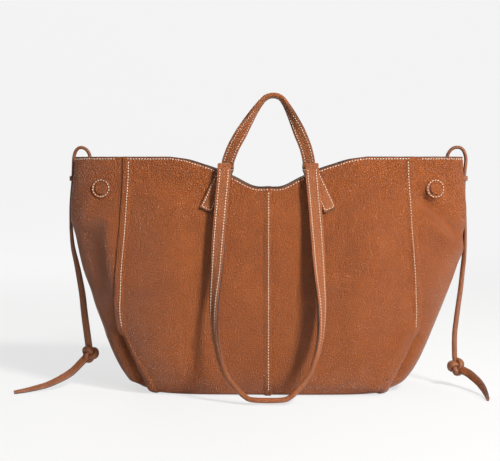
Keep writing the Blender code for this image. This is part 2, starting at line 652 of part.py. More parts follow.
def keeper(name, hand, route):
    """A leather band from the wing's pleat round the lace and back."""
    dense = smooth_route(beside_wing(route, 1), LACE_DIAMETER / 4)
    outside = dense[dense[:, 0] > BAG_WIDTH / 2 - KEEPER_SEARCH]
    reach = outside[np.argmin(np.abs(outside[:, 2] - KEEPER_LEVEL)), 0]
    bend = LACE_DIAMETER / 2 + KEEPER_BAND_GAP + KEEPER_LEATHER / 2
    x, y = end_section(KEEPER_LEVEL, 2 * END_COLUMNS + 1)
    wall = float(np.interp(bend + KEEPER_LEATHER / 2, y, x)) + CLEARANCE
    turn = np.linspace(math.pi / 2, -math.pi / 2, 13)
    round_part = [(reach + bend * math.cos(a), bend * math.sin(a)) for a in turn]
    route = [(wall, bend)] + round_part + [(wall, -bend)]
    centres = np.array([(hand * px, py, KEEPER_LEVEL) for px, py in route])
    across = np.broadcast_to(np.array([0.0, 0.0, 1.0]), centres.shape)
    tangents = np.gradient(centres, axis=0)
    facing = np.cross(tangents, across)
    sizes = np.full(len(centres), KEEPER_HEIGHT)
    leathers = np.full(len(centres), KEEPER_LEATHER)
    return add_object(name, strap_mesh(name, centres, facing, sizes, leathers), strap_leather())


def anchor(name, hand):
    """Block of folded leather inside the wing, where the lace's upper end is sewn down."""
    x, _ = end_section(ANCHOR_TOP, 2 * END_COLUMNS + 1)
    wall = float(x[END_COLUMNS]) - LEATHER - FACING_THICKNESS - SEAT_GAP - CLEARANCE
    half = ANCHOR_WIDTH / 2
    outline = [(hand * (wall - ANCHOR_THICKNESS), -half), (hand * wall, -half),
               (hand * wall, half), (hand * (wall - ANCHOR_THICKNESS), half)]
    return plate(name, outline, ANCHOR_TOP - ANCHOR_HEIGHT, ANCHOR_HEIGHT, inner_leather())


def build_shell():
    plate("base_panel", base_outline(0.0), 0.0, LEATHER, tan_leather())
    plate("base_board", base_outline(BOARD_INSET), LEATHER + CLEARANCE, BOARD_THICKNESS, board_fibre())
    for place, side in (("front", -1), ("back", 1)):
        half_panel(place + "_panel_left", side, -1, True)
        half_panel(place + "_panel_right", side, 1, False)
        face_facing(place + "_rim_facing", side)
    for place, hand in (("left", -1), ("right", 1)):
        side_panel(place + "_side_panel", hand)
        end_facing(place + "_rim_facing", hand)


def build_buttons():
    for place, side in (("front", -1), ("back", 1)):
        for wing, hand in (("left", -1), ("right", 1)):
            button_cover(place + "_" + wing + "_button_cover", hand, side)
            magnet(place + "_" + wing + "_magnet", hand, side)


def build_handles():
    for place, side in (("shoulder_strap", -1), ("carry_handle", 1)):
        for wing, hand in (("left", -1), ("right", 1)):
            tab(place + "_tab_" + wing, hand, side)
    handle("shoulder_strap", -1, shoulder_leg(), 0.0, LOOP_TURN, LOOP_TURN_SHARES)
    handle("carry_handle", 1, carry_leg(), CARRY_ARCH_LEAN, ARCH_TURN, ARCH_TURN_SHARES)


def build_laces():
    for wing, hand, route, centre, end in (
            ("left", -1, LACE_ROUTE_LEFT, KNOT_LEFT, TAIL_ROUTE_LEFT),
            ("right", 1, LACE_ROUTE_RIGHT, KNOT_RIGHT, TAIL_ROUTE_RIGHT)):
        upper = beside_wing(route, hand)
        lower = beside_wing(end, hand)
        lace("side_lace_" + wing, upper)
        knot("lace_knot_" + wing, beside_wing([centre], hand)[0], upper[-1], lower[0])
        tail("lace_tail_" + wing, lower)
        keeper("lace_keeper_" + wing, hand, route)
        anchor("lace_anchor_" + wing, hand)


def main():
    for old in list(bpy.data.objects):
        bpy.data.objects.remove(old)
    build_shell()
    build_buttons()
    build_handles()
    build_laces()


main()
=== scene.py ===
"""Looks of the leather tote bag: fine leather panels, stitching, handles and knotted laces.

Metres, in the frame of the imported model. Every wall follows the same loft as the solids,
with soft folds added along its normals, so panels, facings, tabs and stitches lie on one skin.
"""

import math

import bpy
import numpy as np
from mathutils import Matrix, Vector


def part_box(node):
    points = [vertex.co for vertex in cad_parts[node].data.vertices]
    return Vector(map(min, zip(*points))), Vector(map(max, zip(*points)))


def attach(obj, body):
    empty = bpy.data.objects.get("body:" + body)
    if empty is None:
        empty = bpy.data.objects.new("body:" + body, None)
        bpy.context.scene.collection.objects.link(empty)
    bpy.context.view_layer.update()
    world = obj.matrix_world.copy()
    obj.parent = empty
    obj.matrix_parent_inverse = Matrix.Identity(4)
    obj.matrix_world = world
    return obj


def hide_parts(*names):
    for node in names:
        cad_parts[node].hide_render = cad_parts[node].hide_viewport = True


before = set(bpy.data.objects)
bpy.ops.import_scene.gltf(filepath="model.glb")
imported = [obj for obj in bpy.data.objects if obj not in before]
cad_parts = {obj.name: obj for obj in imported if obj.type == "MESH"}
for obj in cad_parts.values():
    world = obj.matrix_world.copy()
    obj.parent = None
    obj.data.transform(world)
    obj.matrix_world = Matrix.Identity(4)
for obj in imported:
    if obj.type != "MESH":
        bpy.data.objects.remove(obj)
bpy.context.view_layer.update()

# Driving sizes of the bag
BAG_HEIGHT = 0.282
BAG_WIDTH = 0.492
BASE_LENGTH = 0.300
BASE_DEPTH = 0.144
BELLY_DEPTH = 0.162
MOUTH_DEPTH = 0.090
RIM_DIP = 0.037
DIP_HALF_LENGTH = 0.118
SEAM_HALF_SPACING = 0.3579 * BAG_WIDTH
PLEAT_DEPTH = 0.015
PLEAT_HALF_WIDTH = 0.008

# Leather, laps and gaps
LEATHER = 0.002
CLEARANCE = 0.0003
SEAT_GAP = 0.0007
SEAM_LAP = 0.006
CENTRE_LAP = 0.004
UNDERLAP = 0.001
LAP_RAMP = 0.005
FACING_DEPTH = 0.020
FACING_THICKNESS = 0.0012
FACING_SETBACK = 0.001

# Buttons
BUTTON_FROM_CENTRE = SEAM_HALF_SPACING + 0.0514 * BAG_WIDTH
BUTTON_HEIGHT = BAG_HEIGHT - 0.038
BUTTON_RADIUS = 0.0118
BUTTON_LEATHER = 0.0012
BOSS_RADIUS = 0.0075
BOSS_HEIGHT = 0.001

# Handles
STRAP_WIDTH = 0.016
STRAP_THICKNESS = 0.0032
GRIP_WIDTH = 0.0095
GRIP_THICKNESS = 0.0062
FOLD_RADIUS = 0.0038
FOLD_HEIGHT = BAG_HEIGHT - 0.011
FOLD_HALF_SPACING = 0.052
TAB_TOP_GAP = 0.0009
TAB_FOOT_DROP = 0.053
TAB_FOOT_SPREAD = 0.0215
SHOULDER_LOOP_HALF_WIDTH = 0.062
SHOULDER_LOOP_REACH = 0.118
CARRY_ARCH_RISE = 0.090
CARRY_ARCH_LEAN = 0.0065

# Laces
LACE_DIAMETER = 0.005
TAIL_ROOT_WIDTH = 0.0105
TAIL_TIP_WIDTH = 0.0045
TAIL_ROOT_THICKNESS = 0.0044
TAIL_TIP_THICKNESS = 0.0026

# Stitches
STITCH_PITCH = 0.0034
STITCH_LENGTH = 0.0021
STITCH_WIDTH = 0.0012
STITCH_HEIGHT = 0.0008
STITCH_FROM_EDGE = 0.0022
HANDLE_STITCH_INSET = 0.0031

# Profiles along the height, as shares: (share of bag height, share of the named change). The
# seam's is its distance from the centre as a share of the wall's half length at that height
WIDENING_SHARES = ((0.0, 0.0), (0.025, 0.128), (0.075, 0.267), (0.13, 0.373), (0.196, 0.472),
                   (0.30, 0.604), (0.407, 0.732), (0.513, 0.850), (0.62, 0.933), (0.70, 0.982),
                   (0.79, 1.0), (0.909, 0.981), (1.0, 0.969))
BELLY_SHARES = ((0.0, 0.0), (0.06, 0.55), (0.20, 1.0), (1.0, 1.0))
CLOSING_SHARES = ((0.0, 0.0), (0.25, 0.0), (0.43, 0.06), (0.57, 0.22), (0.71, 0.47),
                  (0.87, 0.84), (1.0, 1.0))
SQUARENESS_SHARES = ((0.0, 1.0), (0.11, 0.65), (0.28, 0.30), (0.50, 0.10), (0.71, 0.0),
                     (1.0, 0.0))
SEAM_SHARES = ((0.0, 0.8977), (0.035, 0.8369), (0.07, 0.8221), (0.115, 0.8226), (0.16, 0.8321),
               (0.25, 0.8491), (0.32, 0.8368), (0.41, 0.7972), (0.5, 0.7603), (0.6, 0.7275),
               (0.71, 0.6994), (0.85, 0.6923), (1.0, 0.6954))
PLEAT_SHARES = ((0.0, 0.0), (0.28, 0.0), (0.55, 1.0), (1.0, 1.0))
DIP_SHARES = ((0.0, 1.0), (0.13, 0.99), (0.36, 0.65), (0.54, 0.39), (0.70, 0.22),
              (0.87, 0.06), (1.0, 0.0))
BASE_CORNER_POWER = 4.5
RIM_CORNER_POWER = 2.5

# Routes of the two handles, as shares of their own half width, rise or drop and reach
LOOP_WIDTH_SHARES = (0.847, 0.88, 0.923, 0.957, 1.0, 0.968, 0.863, 0.747, 0.565, 0.427, 0.258)
LOOP_DROP_SHARES = (0.055, 0.15, 0.30, 0.45, 0.61, 0.74, 0.845, 0.905, 0.955, 0.985, 1.0)
LOOP_REACH_SHARES = (0.11, 0.23, 0.42, 0.58, 0.70, 0.79, 0.87, 0.92, 0.96, 0.99, 1.0)
LOOP_TURN_SHARES = (0.0, 0.0, 0.03, 0.12, 0.26, 0.46, 0.62, 0.76, 0.85, 0.92, 0.97, 1.0)
ARCH_WIDTH_SHARES = (0.985, 0.89, 0.735, 0.56, 0.39, 0.225, 0.08)
ARCH_RISE_SHARES = (0.10, 0.27, 0.46, 0.655, 0.825, 0.955, 1.0)
ARCH_TURN_SHARES = (0.0, 0.0, 0.06, 0.20, 0.45, 0.70, 0.90, 1.0)
GRIP_SHARES = (0.0, 0.45, 0.80, 1.0)
GRIP_AMOUNT_SHARES = (0.0, 0.0, 0.75, 1.0)
LOOP_TURN = math.radians(78)
ARCH_TURN = math.radians(68)

# Routes of the laces: (distance out past half the bag's width, depth, share of the bag's
# height), up out of the mouth, over the wing and down to the knot, then along the flat tail
LACE_ROUTE_LEFT = (
    (-0.0252, 0.0, 0.9514), (-0.0253, 0.0, 0.9716), (-0.0254, 0.0, 0.9911),
    (-0.0247, 0.0, 1.0106), (-0.0224, 0.0, 1.0273), (-0.0190, 0.0, 1.0387),
    (-0.0144, 0.0, 1.0440), (-0.0095, 0.0, 1.0376), (-0.0063, 0.0, 1.0170),
    (-0.0049, 0.0, 0.9887), (-0.0042, 0.0, 0.9358), (-0.0034, 0.0, 0.8830),
    (-0.0019, 0.0, 0.8303), (-0.0009, 0.0, 0.7775), (-0.0008, -0.0005, 0.7248),
    (-0.0012, -0.0010, 0.6721), (-0.0032, -0.0015, 0.6020), (-0.0076, -0.0020, 0.5318),
    (-0.0115, -0.0030, 0.4620), (-0.0148, -0.0040, 0.3922), (-0.0171, -0.0060, 0.3230),
    (-0.0200, -0.0090, 0.2547), (-0.0232, -0.0117, 0.1808), (-0.0238, -0.0123, 0.1669))
LACE_ROUTE_RIGHT = (
    (-0.0252, 0.0, 0.9514), (-0.0253, 0.0, 0.9716), (-0.0254, 0.0, 0.9911),
    (-0.0247, 0.0, 1.0106), (-0.0220, 0.0, 1.0280), (-0.0180, 0.0, 1.0397),
    (-0.0125, 0.0, 1.0440), (-0.0070, 0.0, 1.0376), (-0.0036, 0.0, 1.0170),
    (-0.0022, 0.0, 0.9887), (-0.0034, 0.0, 0.9358), (-0.0043, 0.0, 0.8830),
    (-0.0042, 0.0, 0.8303), (-0.0033, -0.0005, 0.7776), (-0.0025, -0.0005, 0.7072),
    (-0.0025, -0.0010, 0.6370), (-0.0032, -0.0015, 0.5668), (-0.0052, -0.0020, 0.4967),
    (-0.0072, -0.0030, 0.4269), (-0.0099, -0.0040, 0.3571), (-0.0127, -0.0060, 0.2880),
    (-0.0150, -0.0085, 0.2194), (-0.0152, -0.0113, 0.1292), (-0.0146, -0.0117, 0.1153))
KNOT_LEFT = (-0.0251, -0.0135, 0.1375)
KNOT_RIGHT = (-0.0133, -0.0125, 0.0846)
TAIL_ROUTE_LEFT = (
    (-0.0194, -0.0180, 0.1174), (-0.0168, -0.0201, 0.1080), (-0.0054, -0.0290, 0.0679),
    (0.0069, -0.0400, 0.0437), (0.0201, -0.0480, 0.0255), (0.0306, -0.0545, 0.0177),
    (0.0438, -0.0615, 0.0105), (0.0560, -0.0690, 0.0072))
TAIL_ROUTE_RIGHT = (
    (-0.0079, -0.0196, 0.0763), (-0.0054, -0.0230, 0.0725), (-0.0002, -0.0300, 0.0643),
    (0.0066, -0.0500, 0.0447), (0.0094, -0.0660, 0.0274), (0.0097, -0.0820, 0.0128),
    (0.0086, -0.0960, 0.0067))

# Camera: the photograph is 500 by 461 pixels
PHOTO_WIDTH = 500
PHOTO_HEIGHT = 461
FOCAL_PIXELS = 1025.6
SENSOR_WIDTH = 36.0
CAMERA_DISTANCE = 1.272
CAMERA_HEIGHT = 0.267
CENTRE_PIXEL = 268.0
HORIZON_PIXEL = 169.5

# Finer leather of the visible walls
WALL = 0.0015
LAP_LIFT = 0.0017
EDGE_ROUND = 0.0012
FOOT_TUCK = 0.0016
FOOT_TUCK_HEIGHT = 0.006
FOOT_LEVEL = 0.0004
BASE_INSET = 0.0045
RIM_BEAD_WIDTH = 0.0031
RIM_BEAD_HEIGHT = 0.0015
STITCH_GROOVE = 0.0003
STITCH_GROOVE_WIDTH = 0.0013

# Mesh density
PANEL_COLUMNS = 120
PANEL_ROWS = 150
WING_COLUMNS = 170
STRAP_RING = 28
STRAP_STEP = 0.0022
LACE_RING = 20
LACE_STEP = 0.0035


def smooth_table(value, shares):
    """A table read through a cubic curve whose slope at each point is that of its neighbours."""
    xs = np.array([pair[0] for pair in shares])
    ys = np.array([pair[1] for pair in shares])
    slopes = np.gradient(ys, xs)
    flat = np.concatenate(([False], (ys[1:-1] - ys[:-2]) * (ys[2:] - ys[1:-1]) <= 0, [False]))
    slopes[flat] = 0.0
    place = np.clip(np.asarray(value, dtype=float), xs[0], xs[-1])
    index = np.clip(np.searchsorted(xs, place, side="right") - 1, 0, len(xs) - 2)
    step = xs[index + 1] - xs[index]
    t = (place - xs[index]) / step
    return ((2 * t ** 3 - 3 * t ** 2 + 1) * ys[index] + (t ** 3 - 2 * t ** 2 + t) * step * slopes[index]
            + (3 * t ** 2 - 2 * t ** 3) * ys[index + 1] + (t ** 3 - t ** 2) * step * slopes[index + 1])


def smooth_step(value):
    """0 below 0, 1 above 1, and three t squared less two t cubed between."""
    t = np.clip(value, 0.0, 1.0)
    return t * t * (3 - 2 * t)


def unit(vectors):
    return vectors / np.maximum(np.linalg.norm(vectors, axis=-1, keepdims=True), 1e-12)


def half_length(z):
    widening = smooth_table(z / BAG_HEIGHT, WIDENING_SHARES)
    return BASE_LENGTH / 2 + (BAG_WIDTH - BASE_LENGTH) / 2 * widening


def half_depth(z):
    share = z / BAG_HEIGHT
    bulge = (BELLY_DEPTH - BASE_DEPTH) / 2 * smooth_table(share, BELLY_SHARES)
    closing = (BELLY_DEPTH - MOUTH_DEPTH) / 2 * smooth_table(share, CLOSING_SHARES)
    return BASE_DEPTH / 2 + bulge - closing


def corner_power(z):
    squareness = smooth_table(z / BAG_HEIGHT, SQUARENESS_SHARES)
    return RIM_CORNER_POWER + (BASE_CORNER_POWER - RIM_CORNER_POWER) * squareness


def seam_half_spacing(z):
    return half_length(z) * smooth_table(z / BAG_HEIGHT, SEAM_SHARES)


def rim_height(x):
    return BAG_HEIGHT - RIM_DIP * smooth_table(np.abs(x) / DIP_HALF_LENGTH, DIP_SHARES)


def face_depth(x, z):
    """Half depth times the p-th root of one less the p-th power of x over the half length."""
    power = corner_power(z)
    reach = np.clip(np.abs(x) / half_length(z), 0.0, 1.0)
    return half_depth(z) * (1.0 - reach ** power) ** (1.0 / power)


# Soft folds of the front: (x, height) of both ends, half width and rise, in metres
FRONT_FOLDS = (
    ((-0.118, 0.055), (-0.122, 0.205), 0.034, 0.0055),
    ((0.112, 0.045), (0.120, 0.200), 0.036, 0.0060),
    ((-0.085, 0.060), (-0.088, 0.190), 0.012, -0.0012),
    ((0.083, 0.060), (0.086, 0.190), 0.012, -0.0012),
    ((0.186, 0.232), (0.229, 0.190), 0.0100, -0.0078),
    ((0.196, 0.206), (0.226, 0.172), 0.0130, 0.0058),
    ((0.196, 0.262), (0.222, 0.240), 0.0170, -0.0034),
    ((-0.224, 0.186), (-0.206, 0.130), 0.0200, -0.0062),
    ((-0.214, 0.232), (-0.228, 0.206), 0.0120, 0.0026),
    ((-0.190, 0.200), (-0.186, 0.110), 0.0110, 0.0030),
    ((-0.152, 0.012), (-0.176, 0.066), 0.0060, -0.0060),
    ((-0.166, 0.014), (-0.188, 0.066), 0.0090, 0.0030),
    ((0.150, 0.008), (0.178, 0.066), 0.0060, -0.0064),
    ((0.130, 0.010), (0.166, 0.076), 0.0100, 0.0040),
    ((-0.080, 0.235), (-0.140, 0.262), 0.0160, -0.0026),
    ((0.080, 0.232), (0.142, 0.262), 0.0160, -0.0026),
    ((-0.100, 0.022), (0.100, 0.020), 0.0140, 0.0016),
)
BACK_FOLDS = (
    ((-0.110, 0.050), (-0.118, 0.200), 0.035, 0.0050),
    ((0.116, 0.055), (0.120, 0.205), 0.035, 0.0052),
    ((0.000, 0.060), (0.000, 0.170), 0.030, 0.0030),
    ((-0.190, 0.222), (-0.224, 0.186), 0.0090, -0.0042),
    ((0.192, 0.216), (0.224, 0.178), 0.0100, -0.0040),
    ((-0.148, 0.030), (-0.168, 0.092), 0.0100, -0.0030),
    ((0.146, 0.028), (0.166, 0.088), 0.0100, -0.0030),
    ((-0.082, 0.232), (-0.140, 0.262), 0.0160, -0.0026),
    ((0.082, 0.232), (0.140, 0.262), 0.0160, -0.0026),
)
RIPPLE_HEIGHT = 0.0005
RIPPLE_SLANT_SHARE = 0.6
SIDE_FADE = 0.020
FOOT_CALM = 0.012
INWARD = np.array([0.9, 0.0, 1.0])
QUIET_ZONES = ((FOLD_HALF_SPACING, FOLD_HEIGHT, 0.026), (BUTTON_FROM_CENTRE, BUTTON_HEIGHT, 0.012))


def folds(x, z, table):
    """Sum of ridges: rise times exp(-(distance to the segment over half width) squared)."""
    total = np.zeros(np.broadcast(x, z).shape)
    for (x0, z0), (x1, z1), width, rise in table:
        dx, dz = x1 - x0, z1 - z0
        t = np.clip(((x - x0) * dx + (z - z0) * dz) / (dx * dx + dz * dz), 0.0, 1.0)
        distance = np.hypot(x - x0 - t * dx, z - z0 - t * dz)
        total = total + rise * np.exp(-(distance / width) ** 2)
    return total


def relief(x, y, z):
    """How far the leather stands out from the loft: folds, a slow ripple, and calm by the fittings.

    The ripple is a product of sines of x and z; each calm zone multiplies by one less a bell.
    """
    front = smooth_step(-y / SIDE_FADE)
    back = smooth_step(y / SIDE_FADE)
    ripple = RIPPLE_HEIGHT * (np.sin(61.0 * x + 1.3) * np.sin(47.0 * z + 0.6)
                              + np.sin(103.0 * x + 31.0 * z + 2.1) * RIPPLE_SLANT_SHARE)
    height = front * (folds(x, z, FRONT_FOLDS) + ripple) + back * (folds(x, z, BACK_FOLDS) + ripple)
    for centre, level, radius in QUIET_ZONES:
        bell = np.exp(-(((np.abs(x) - centre) / radius) ** 2 + ((z - level) / radius) ** 2) ** 2)
        height = height * (1.0 - bell)
    return height * smooth_step(z / FOOT_CALM)


def tuck(z):
    """Inward turn of the wall at its foot: a square law below the tuck height."""
    return FOOT_TUCK * np.clip(1.0 - z / FOOT_TUCK_HEIGHT, 0.0, 1.0) ** 2


DIFFERENCE = 0.0002


def surface_normal(place, a, b, inside):
    """Unit normal from the differences of place(a, b) both ways, turned away from inside."""
    along_a = place(a + DIFFERENCE, b) - place(a - DIFFERENCE, b)
    along_b = place(a, b + DIFFERENCE) - place(a, b - DIFFERENCE)
    normal = unit(np.cross(along_a, along_b))
    outward = place(a, b) - inside
    return normal * np.sign((normal * outward).sum(axis=-1, keepdims=True))


def face_skin(x, z, side):
    """Points and normals of the front (side -1) or back (side 1), folds included."""
    def loft(a, b):
        return np.stack(np.broadcast_arrays(a, side * face_depth(a, b), b), axis=-1)

    def folded(a, b):
        base = loft(a, b)
        normal = surface_normal(loft, a, b, base * INWARD)
        return base + normal * (relief(base[..., 0], base[..., 1], base[..., 2]) - tuck(b))[..., None]

    x, z = np.broadcast_arrays(np.asarray(x, dtype=float), np.asarray(z, dtype=float))
    points = folded(x, z)
    return points, surface_normal(folded, x, z, points * INWARD)


WING_COLUMN_POWER = 1.2
GUSSET_RECESS = 0.0065
GUSSET_START = 0.004
GUSSET_RAMP = 0.007
GUSSET_REACH = 0.026
GUSSET_RECESS_SHARES = ((0.0, 0.35), (0.08, 0.8), (0.22, 1.0), (0.36, 0.75), (0.46, 0.0), (1.0, 0.0))


def wing_skin(u, z, hand):
    """Points and normals of a wing; u runs from -1 at the front seam to 1 at the back seam.

    The section is the superellipse of the loft with a bell-shaped pleat pushed in at its end,
    and below the stitched seam it is pressed in beside the front and back panels.
    """
    def loft(a, b):
        power = corner_power(b)
        start = (seam_half_spacing(b) - UNDERLAP) / half_length(b)
        angle = np.sign(a) * np.abs(a) ** WING_COLUMN_POWER * np.arccos(start ** (power / 2))
        x = half_length(b) * np.cos(angle) ** (2 / power)
        y = half_depth(b) * np.sign(angle) * np.abs(np.sin(angle)) ** (2 / power)
        pleat = PLEAT_DEPTH * smooth_table(b / BAG_HEIGHT, PLEAT_SHARES)
        x = x - pleat * np.exp(-(y / PLEAT_HALF_WIDTH) ** 2)
        return np.stack(np.broadcast_arrays(hand * x, y, b), axis=-1)

    def folded(a, b):
        base = loft(a, b)
        normal = surface_normal(loft, a, b, base * INWARD)
        seam = loft(np.sign(a), b)
        from_seam = np.linalg.norm(base - seam, axis=-1)
        recess = (GUSSET_RECESS * smooth_table(b / BAG_HEIGHT, GUSSET_RECESS_SHARES)
                  * smooth_step((from_seam - GUSSET_START) / GUSSET_RAMP)
                  * np.exp(-(from_seam / GUSSET_REACH) ** 2))
        height = relief(base[..., 0], base[..., 1], base[..., 2]) - recess - tuck(b)
        return base + normal * height[..., None]

    u, z = np.broadcast_arrays(np.asarray(u, dtype=float), np.asarray(z, dtype=float))
    points = folded(u, z)
    return points, surface_normal(folded, u, z, points * INWARD)


# Finishes


def new_material(name):
    made = bpy.data.materials.new(name)
    made.use_nodes = True
    tree = made.node_tree
    shader = tree.nodes["Principled BSDF"]
    place = tree.nodes.new("ShaderNodeTexCoord").outputs["Object"]
    return made, tree, shader, place


def noise(tree, place, scale, detail=4.0, roughness=0.55, distortion=0.0):
    node = tree.nodes.new("ShaderNodeTexNoise")
    node.inputs["Scale"].default_value = scale
    node.inputs["Detail"].default_value = detail
    node.inputs["Roughness"].default_value = roughness
    node.inputs["Distortion"].default_value = distortion
    tree.links.new(place, node.inputs["Vector"])
    return node


def cells(tree, place, scale):
    node = tree.nodes.new("ShaderNodeTexVoronoi")
    node.feature = "DISTANCE_TO_EDGE"
    node.inputs["Scale"].default_value = scale
    tree.links.new(place, node.inputs["Vector"])
    return node.outputs["Distance"]


def ramp(tree, value, stops):
    node = tree.nodes.new("ShaderNodeValToRGB")
    while len(node.color_ramp.elements) < len(stops):
        node.color_ramp.elements.new(0.5)
    for element, (position, colour) in zip(node.color_ramp.elements, stops):
        element.position = position
        element.color = (*colour, 1.0)
    tree.links.new(value, node.inputs["Fac"])
    return node.outputs["Color"]


def levels(tree, value, low, high, out_low=0.0, out_high=1.0):
    node = tree.nodes.new("ShaderNodeMapRange")
    node.interpolation_type = "SMOOTHSTEP"
    for label, number in (("From Min", low), ("From Max", high), ("To Min", out_low), ("To Max", out_high)):
        node.inputs[label].default_value = number
    tree.links.new(value, node.inputs["Value"])
    return node.outputs["Result"]


def combine(tree, operation, first, second):
    node = tree.nodes.new("ShaderNodeMath")
    node.operation = operation
    for socket, value in zip(node.inputs, (first, second)):
        if isinstance(value, (int, float)):
            socket.default_value = value
        else:
            tree.links.new(value, socket)
    return node.outputs["Value"]


def add_up(tree, *parts):
    """Sum of textures, each times its amount."""
    total = None
    for value, amount in parts:
        share = combine(tree, "MULTIPLY", value, amount)
        total = share if total is None else combine(tree, "ADD", total, share)
    return total


def mix_colour(tree, factor, first, second, blend="MIX"):
    node = tree.nodes.new("ShaderNodeMix")
    node.data_type = "RGBA"
    node.blend_type = blend
    for label, value in (("Factor", factor), ("A", first), ("B", second)):
        kind = "VALUE" if label == "Factor" else "RGBA"
        socket = [s for s in node.inputs if s.name == label and s.type == kind][0]
        if isinstance(value, (int, float)):
            socket.default_value = value
        elif isinstance(value, tuple):
            socket.default_value = (*value, 1.0)
        else:
            tree.links.new(value, socket)
    return [s for s in node.outputs if s.type == "RGBA"][0]


def bump(tree, shader, height, distance):
    node = tree.nodes.new("ShaderNodeBump")
    node.inputs["Distance"].default_value = distance
    node.inputs["Strength"].default_value = 1.0
    tree.links.new(height, node.inputs["Height"])
    tree.links.new(node.outputs["Normal"], shader.inputs["Normal"])


GRAIN_CELL = 0.0024
FINE_CELL = 0.0009
WARP_SCALE = 260.0
WARP_REACH = 0.0011
PORE_SCALE = 2400.0
SWELL_SCALE = 130.0
CLOUD_SCALE = 16.0
PATCH_SCALE = 55.0
LEATHER_GLOSS = 0.50
LEATHER_SHEEN = 0.02


def leather(name, dark, middle, light, roughness, grain_depth, paint_edges=False):
    """Pebbled leather: pebbles bounded by fine valleys, cloudy dye, and painted shade darkening the valleys
    below the grain tops.

    Pebbles are the distance to the edge of warped cells; the dye is two sizes of cloud, with painted
    shade darkening it in the valleys; the roughness rises where the dye is dark.
    """
    made, tree, shader, place = new_material(name)
    warp = noise(tree, place, WARP_SCALE, 2.0)
    spread = tree.nodes.new("ShaderNodeVectorMath")
    spread.operation = "MULTIPLY_ADD"
    tree.links.new(warp.outputs["Color"], spread.inputs[0])
    spread.inputs[1].default_value = (WARP_REACH,) * 3
    tree.links.new(place, spread.inputs[2])
    pebbles = levels(tree, cells(tree, spread.outputs["Vector"], 1.0 / GRAIN_CELL), 0.0, 0.34)
    fine = levels(tree, cells(tree, spread.outputs["Vector"], 1.0 / FINE_CELL), 0.0, 0.30)
    pore = noise(tree, place, PORE_SCALE, 2.0).outputs["Fac"]
    swell = noise(tree, place, SWELL_SCALE, 3.0).outputs["Fac"]
    cloud = noise(tree, place, CLOUD_SCALE, 5.0, 0.6, 0.4).outputs["Fac"]
    patch = noise(tree, place, PATCH_SCALE, 4.0, 0.6).outputs["Fac"]
    dye = add_up(tree, (cloud, 0.6), (patch, 0.4))
    colour = ramp(tree, dye, ((0.36, dark), (0.50, middle), (0.66, light)))
    # Painted shade: the colour is multiplied down to seven tenths in the valleys between the grain's pebbles
    valley = levels(tree, pebbles, 0.0, 0.5, 0.70, 1.0)
    painted_shade = tree.nodes.new("ShaderNodeCombineColor")
    for label in ("Red", "Green", "Blue"):
        tree.links.new(valley, painted_shade.inputs[label])
    colour = mix_colour(tree, 1.0, colour, painted_shade.outputs["Color"], "MULTIPLY")
    rough = levels(tree, dye, 0.35, 0.65, roughness + 0.05, roughness - 0.04)
    if paint_edges:
        edge = tree.nodes.new("ShaderNodeAttribute")
        edge.attribute_name = "paint"
        amount = levels(tree, edge.outputs["Fac"], 0.35, 0.65)
        colour = mix_colour(tree, amount, colour, EDGE_PAINT_COLOUR)
    tree.links.new(colour, shader.inputs["Base Color"])
    tree.links.new(rough, shader.inputs["Roughness"])
    shader.inputs["Specular IOR Level"].default_value = LEATHER_GLOSS
    shader.inputs["Sheen Weight"].default_value = LEATHER_SHEEN
    shader.inputs["Sheen Roughness"].default_value = 0.4
    rise = add_up(tree, (pebbles, 0.62), (fine, 0.16), (pore, 0.08), (swell, 0.5))
    bump(tree, shader, rise, grain_depth)
    return made


EDGE_PAINT_COLOUR = (0.050, 0.020, 0.011)


def edge_paint():
    """Dark edge paint: even colour with slow thickness changes and a soft gloss."""
    made, tree, shader, place = new_material("edge_paint")
    patch = noise(tree, place, 320.0, 3.0).outputs["Fac"]
    tree.links.new(ramp(tree, patch, ((0.3, (0.036, 0.014, 0.008)), (0.7, (0.070, 0.030, 0.017)))),
                   shader.inputs["Base Color"])
    shader.inputs["Roughness"].default_value = 0.42
    bump(tree, shader, patch, 0.0002)
    return made


def suede(name, dark, light):
    """Napped flesh side of the leather: short crossed fibres over soft clouds."""
    made, tree, shader, place = new_material(name)
    nap = noise(tree, place, 1500.0, 3.0, 0.7).outputs["Fac"]
    cloud = noise(tree, place, 40.0, 5.0, 0.6).outputs["Fac"]
    both = add_up(tree, (nap, 0.45), (cloud, 0.55))
    tree.links.new(ramp(tree, both, ((0.36, dark), (0.64, light))), shader.inputs["Base Color"])
    shader.inputs["Roughness"].default_value = 0.93
    shader.inputs["Sheen Weight"].default_value = 0.25
    shader.inputs["Specular IOR Level"].default_value = 0.2
    bump(tree, shader, nap, 0.0003)
    return made


def thread():
    """Waxed cream thread: two plies seen as fine slanted bands."""
    made, tree, shader, place = new_material("thread")
    twist = tree.nodes.new("ShaderNodeTexWave")
    twist.wave_type = "BANDS"
    twist.bands_direction = "DIAGONAL"
    twist.inputs["Scale"].default_value = 900.0
    twist.inputs["Distortion"].default_value = 0.6
    tree.links.new(place, twist.inputs["Vector"])
    tree.links.new(ramp(tree, twist.outputs["Fac"], ((0.2, (0.70, 0.56, 0.42)), (0.8, (0.90, 0.80, 0.66)))),
                   shader.inputs["Base Color"])
    shader.inputs["Roughness"].default_value = 0.6
    bump(tree, shader, twist.outputs["Fac"], 0.00015)
    return made


def board_felt():
    """Pressed fibre board covered with brown felt: short fibres and faint mottling."""
    made, tree, shader, place = new_material("board_felt")
    fibre = noise(tree, place, 900.0, 5.0, 0.8, 1.5).outputs["Fac"]
    tree.links.new(ramp(tree, fibre, ((0.3, (0.115, 0.060, 0.034)), (0.7, (0.180, 0.100, 0.058)))),
                   shader.inputs["Base Color"])
    shader.inputs["Roughness"].default_value = 0.95
    bump(tree, shader, fibre, 0.0004)
    return made


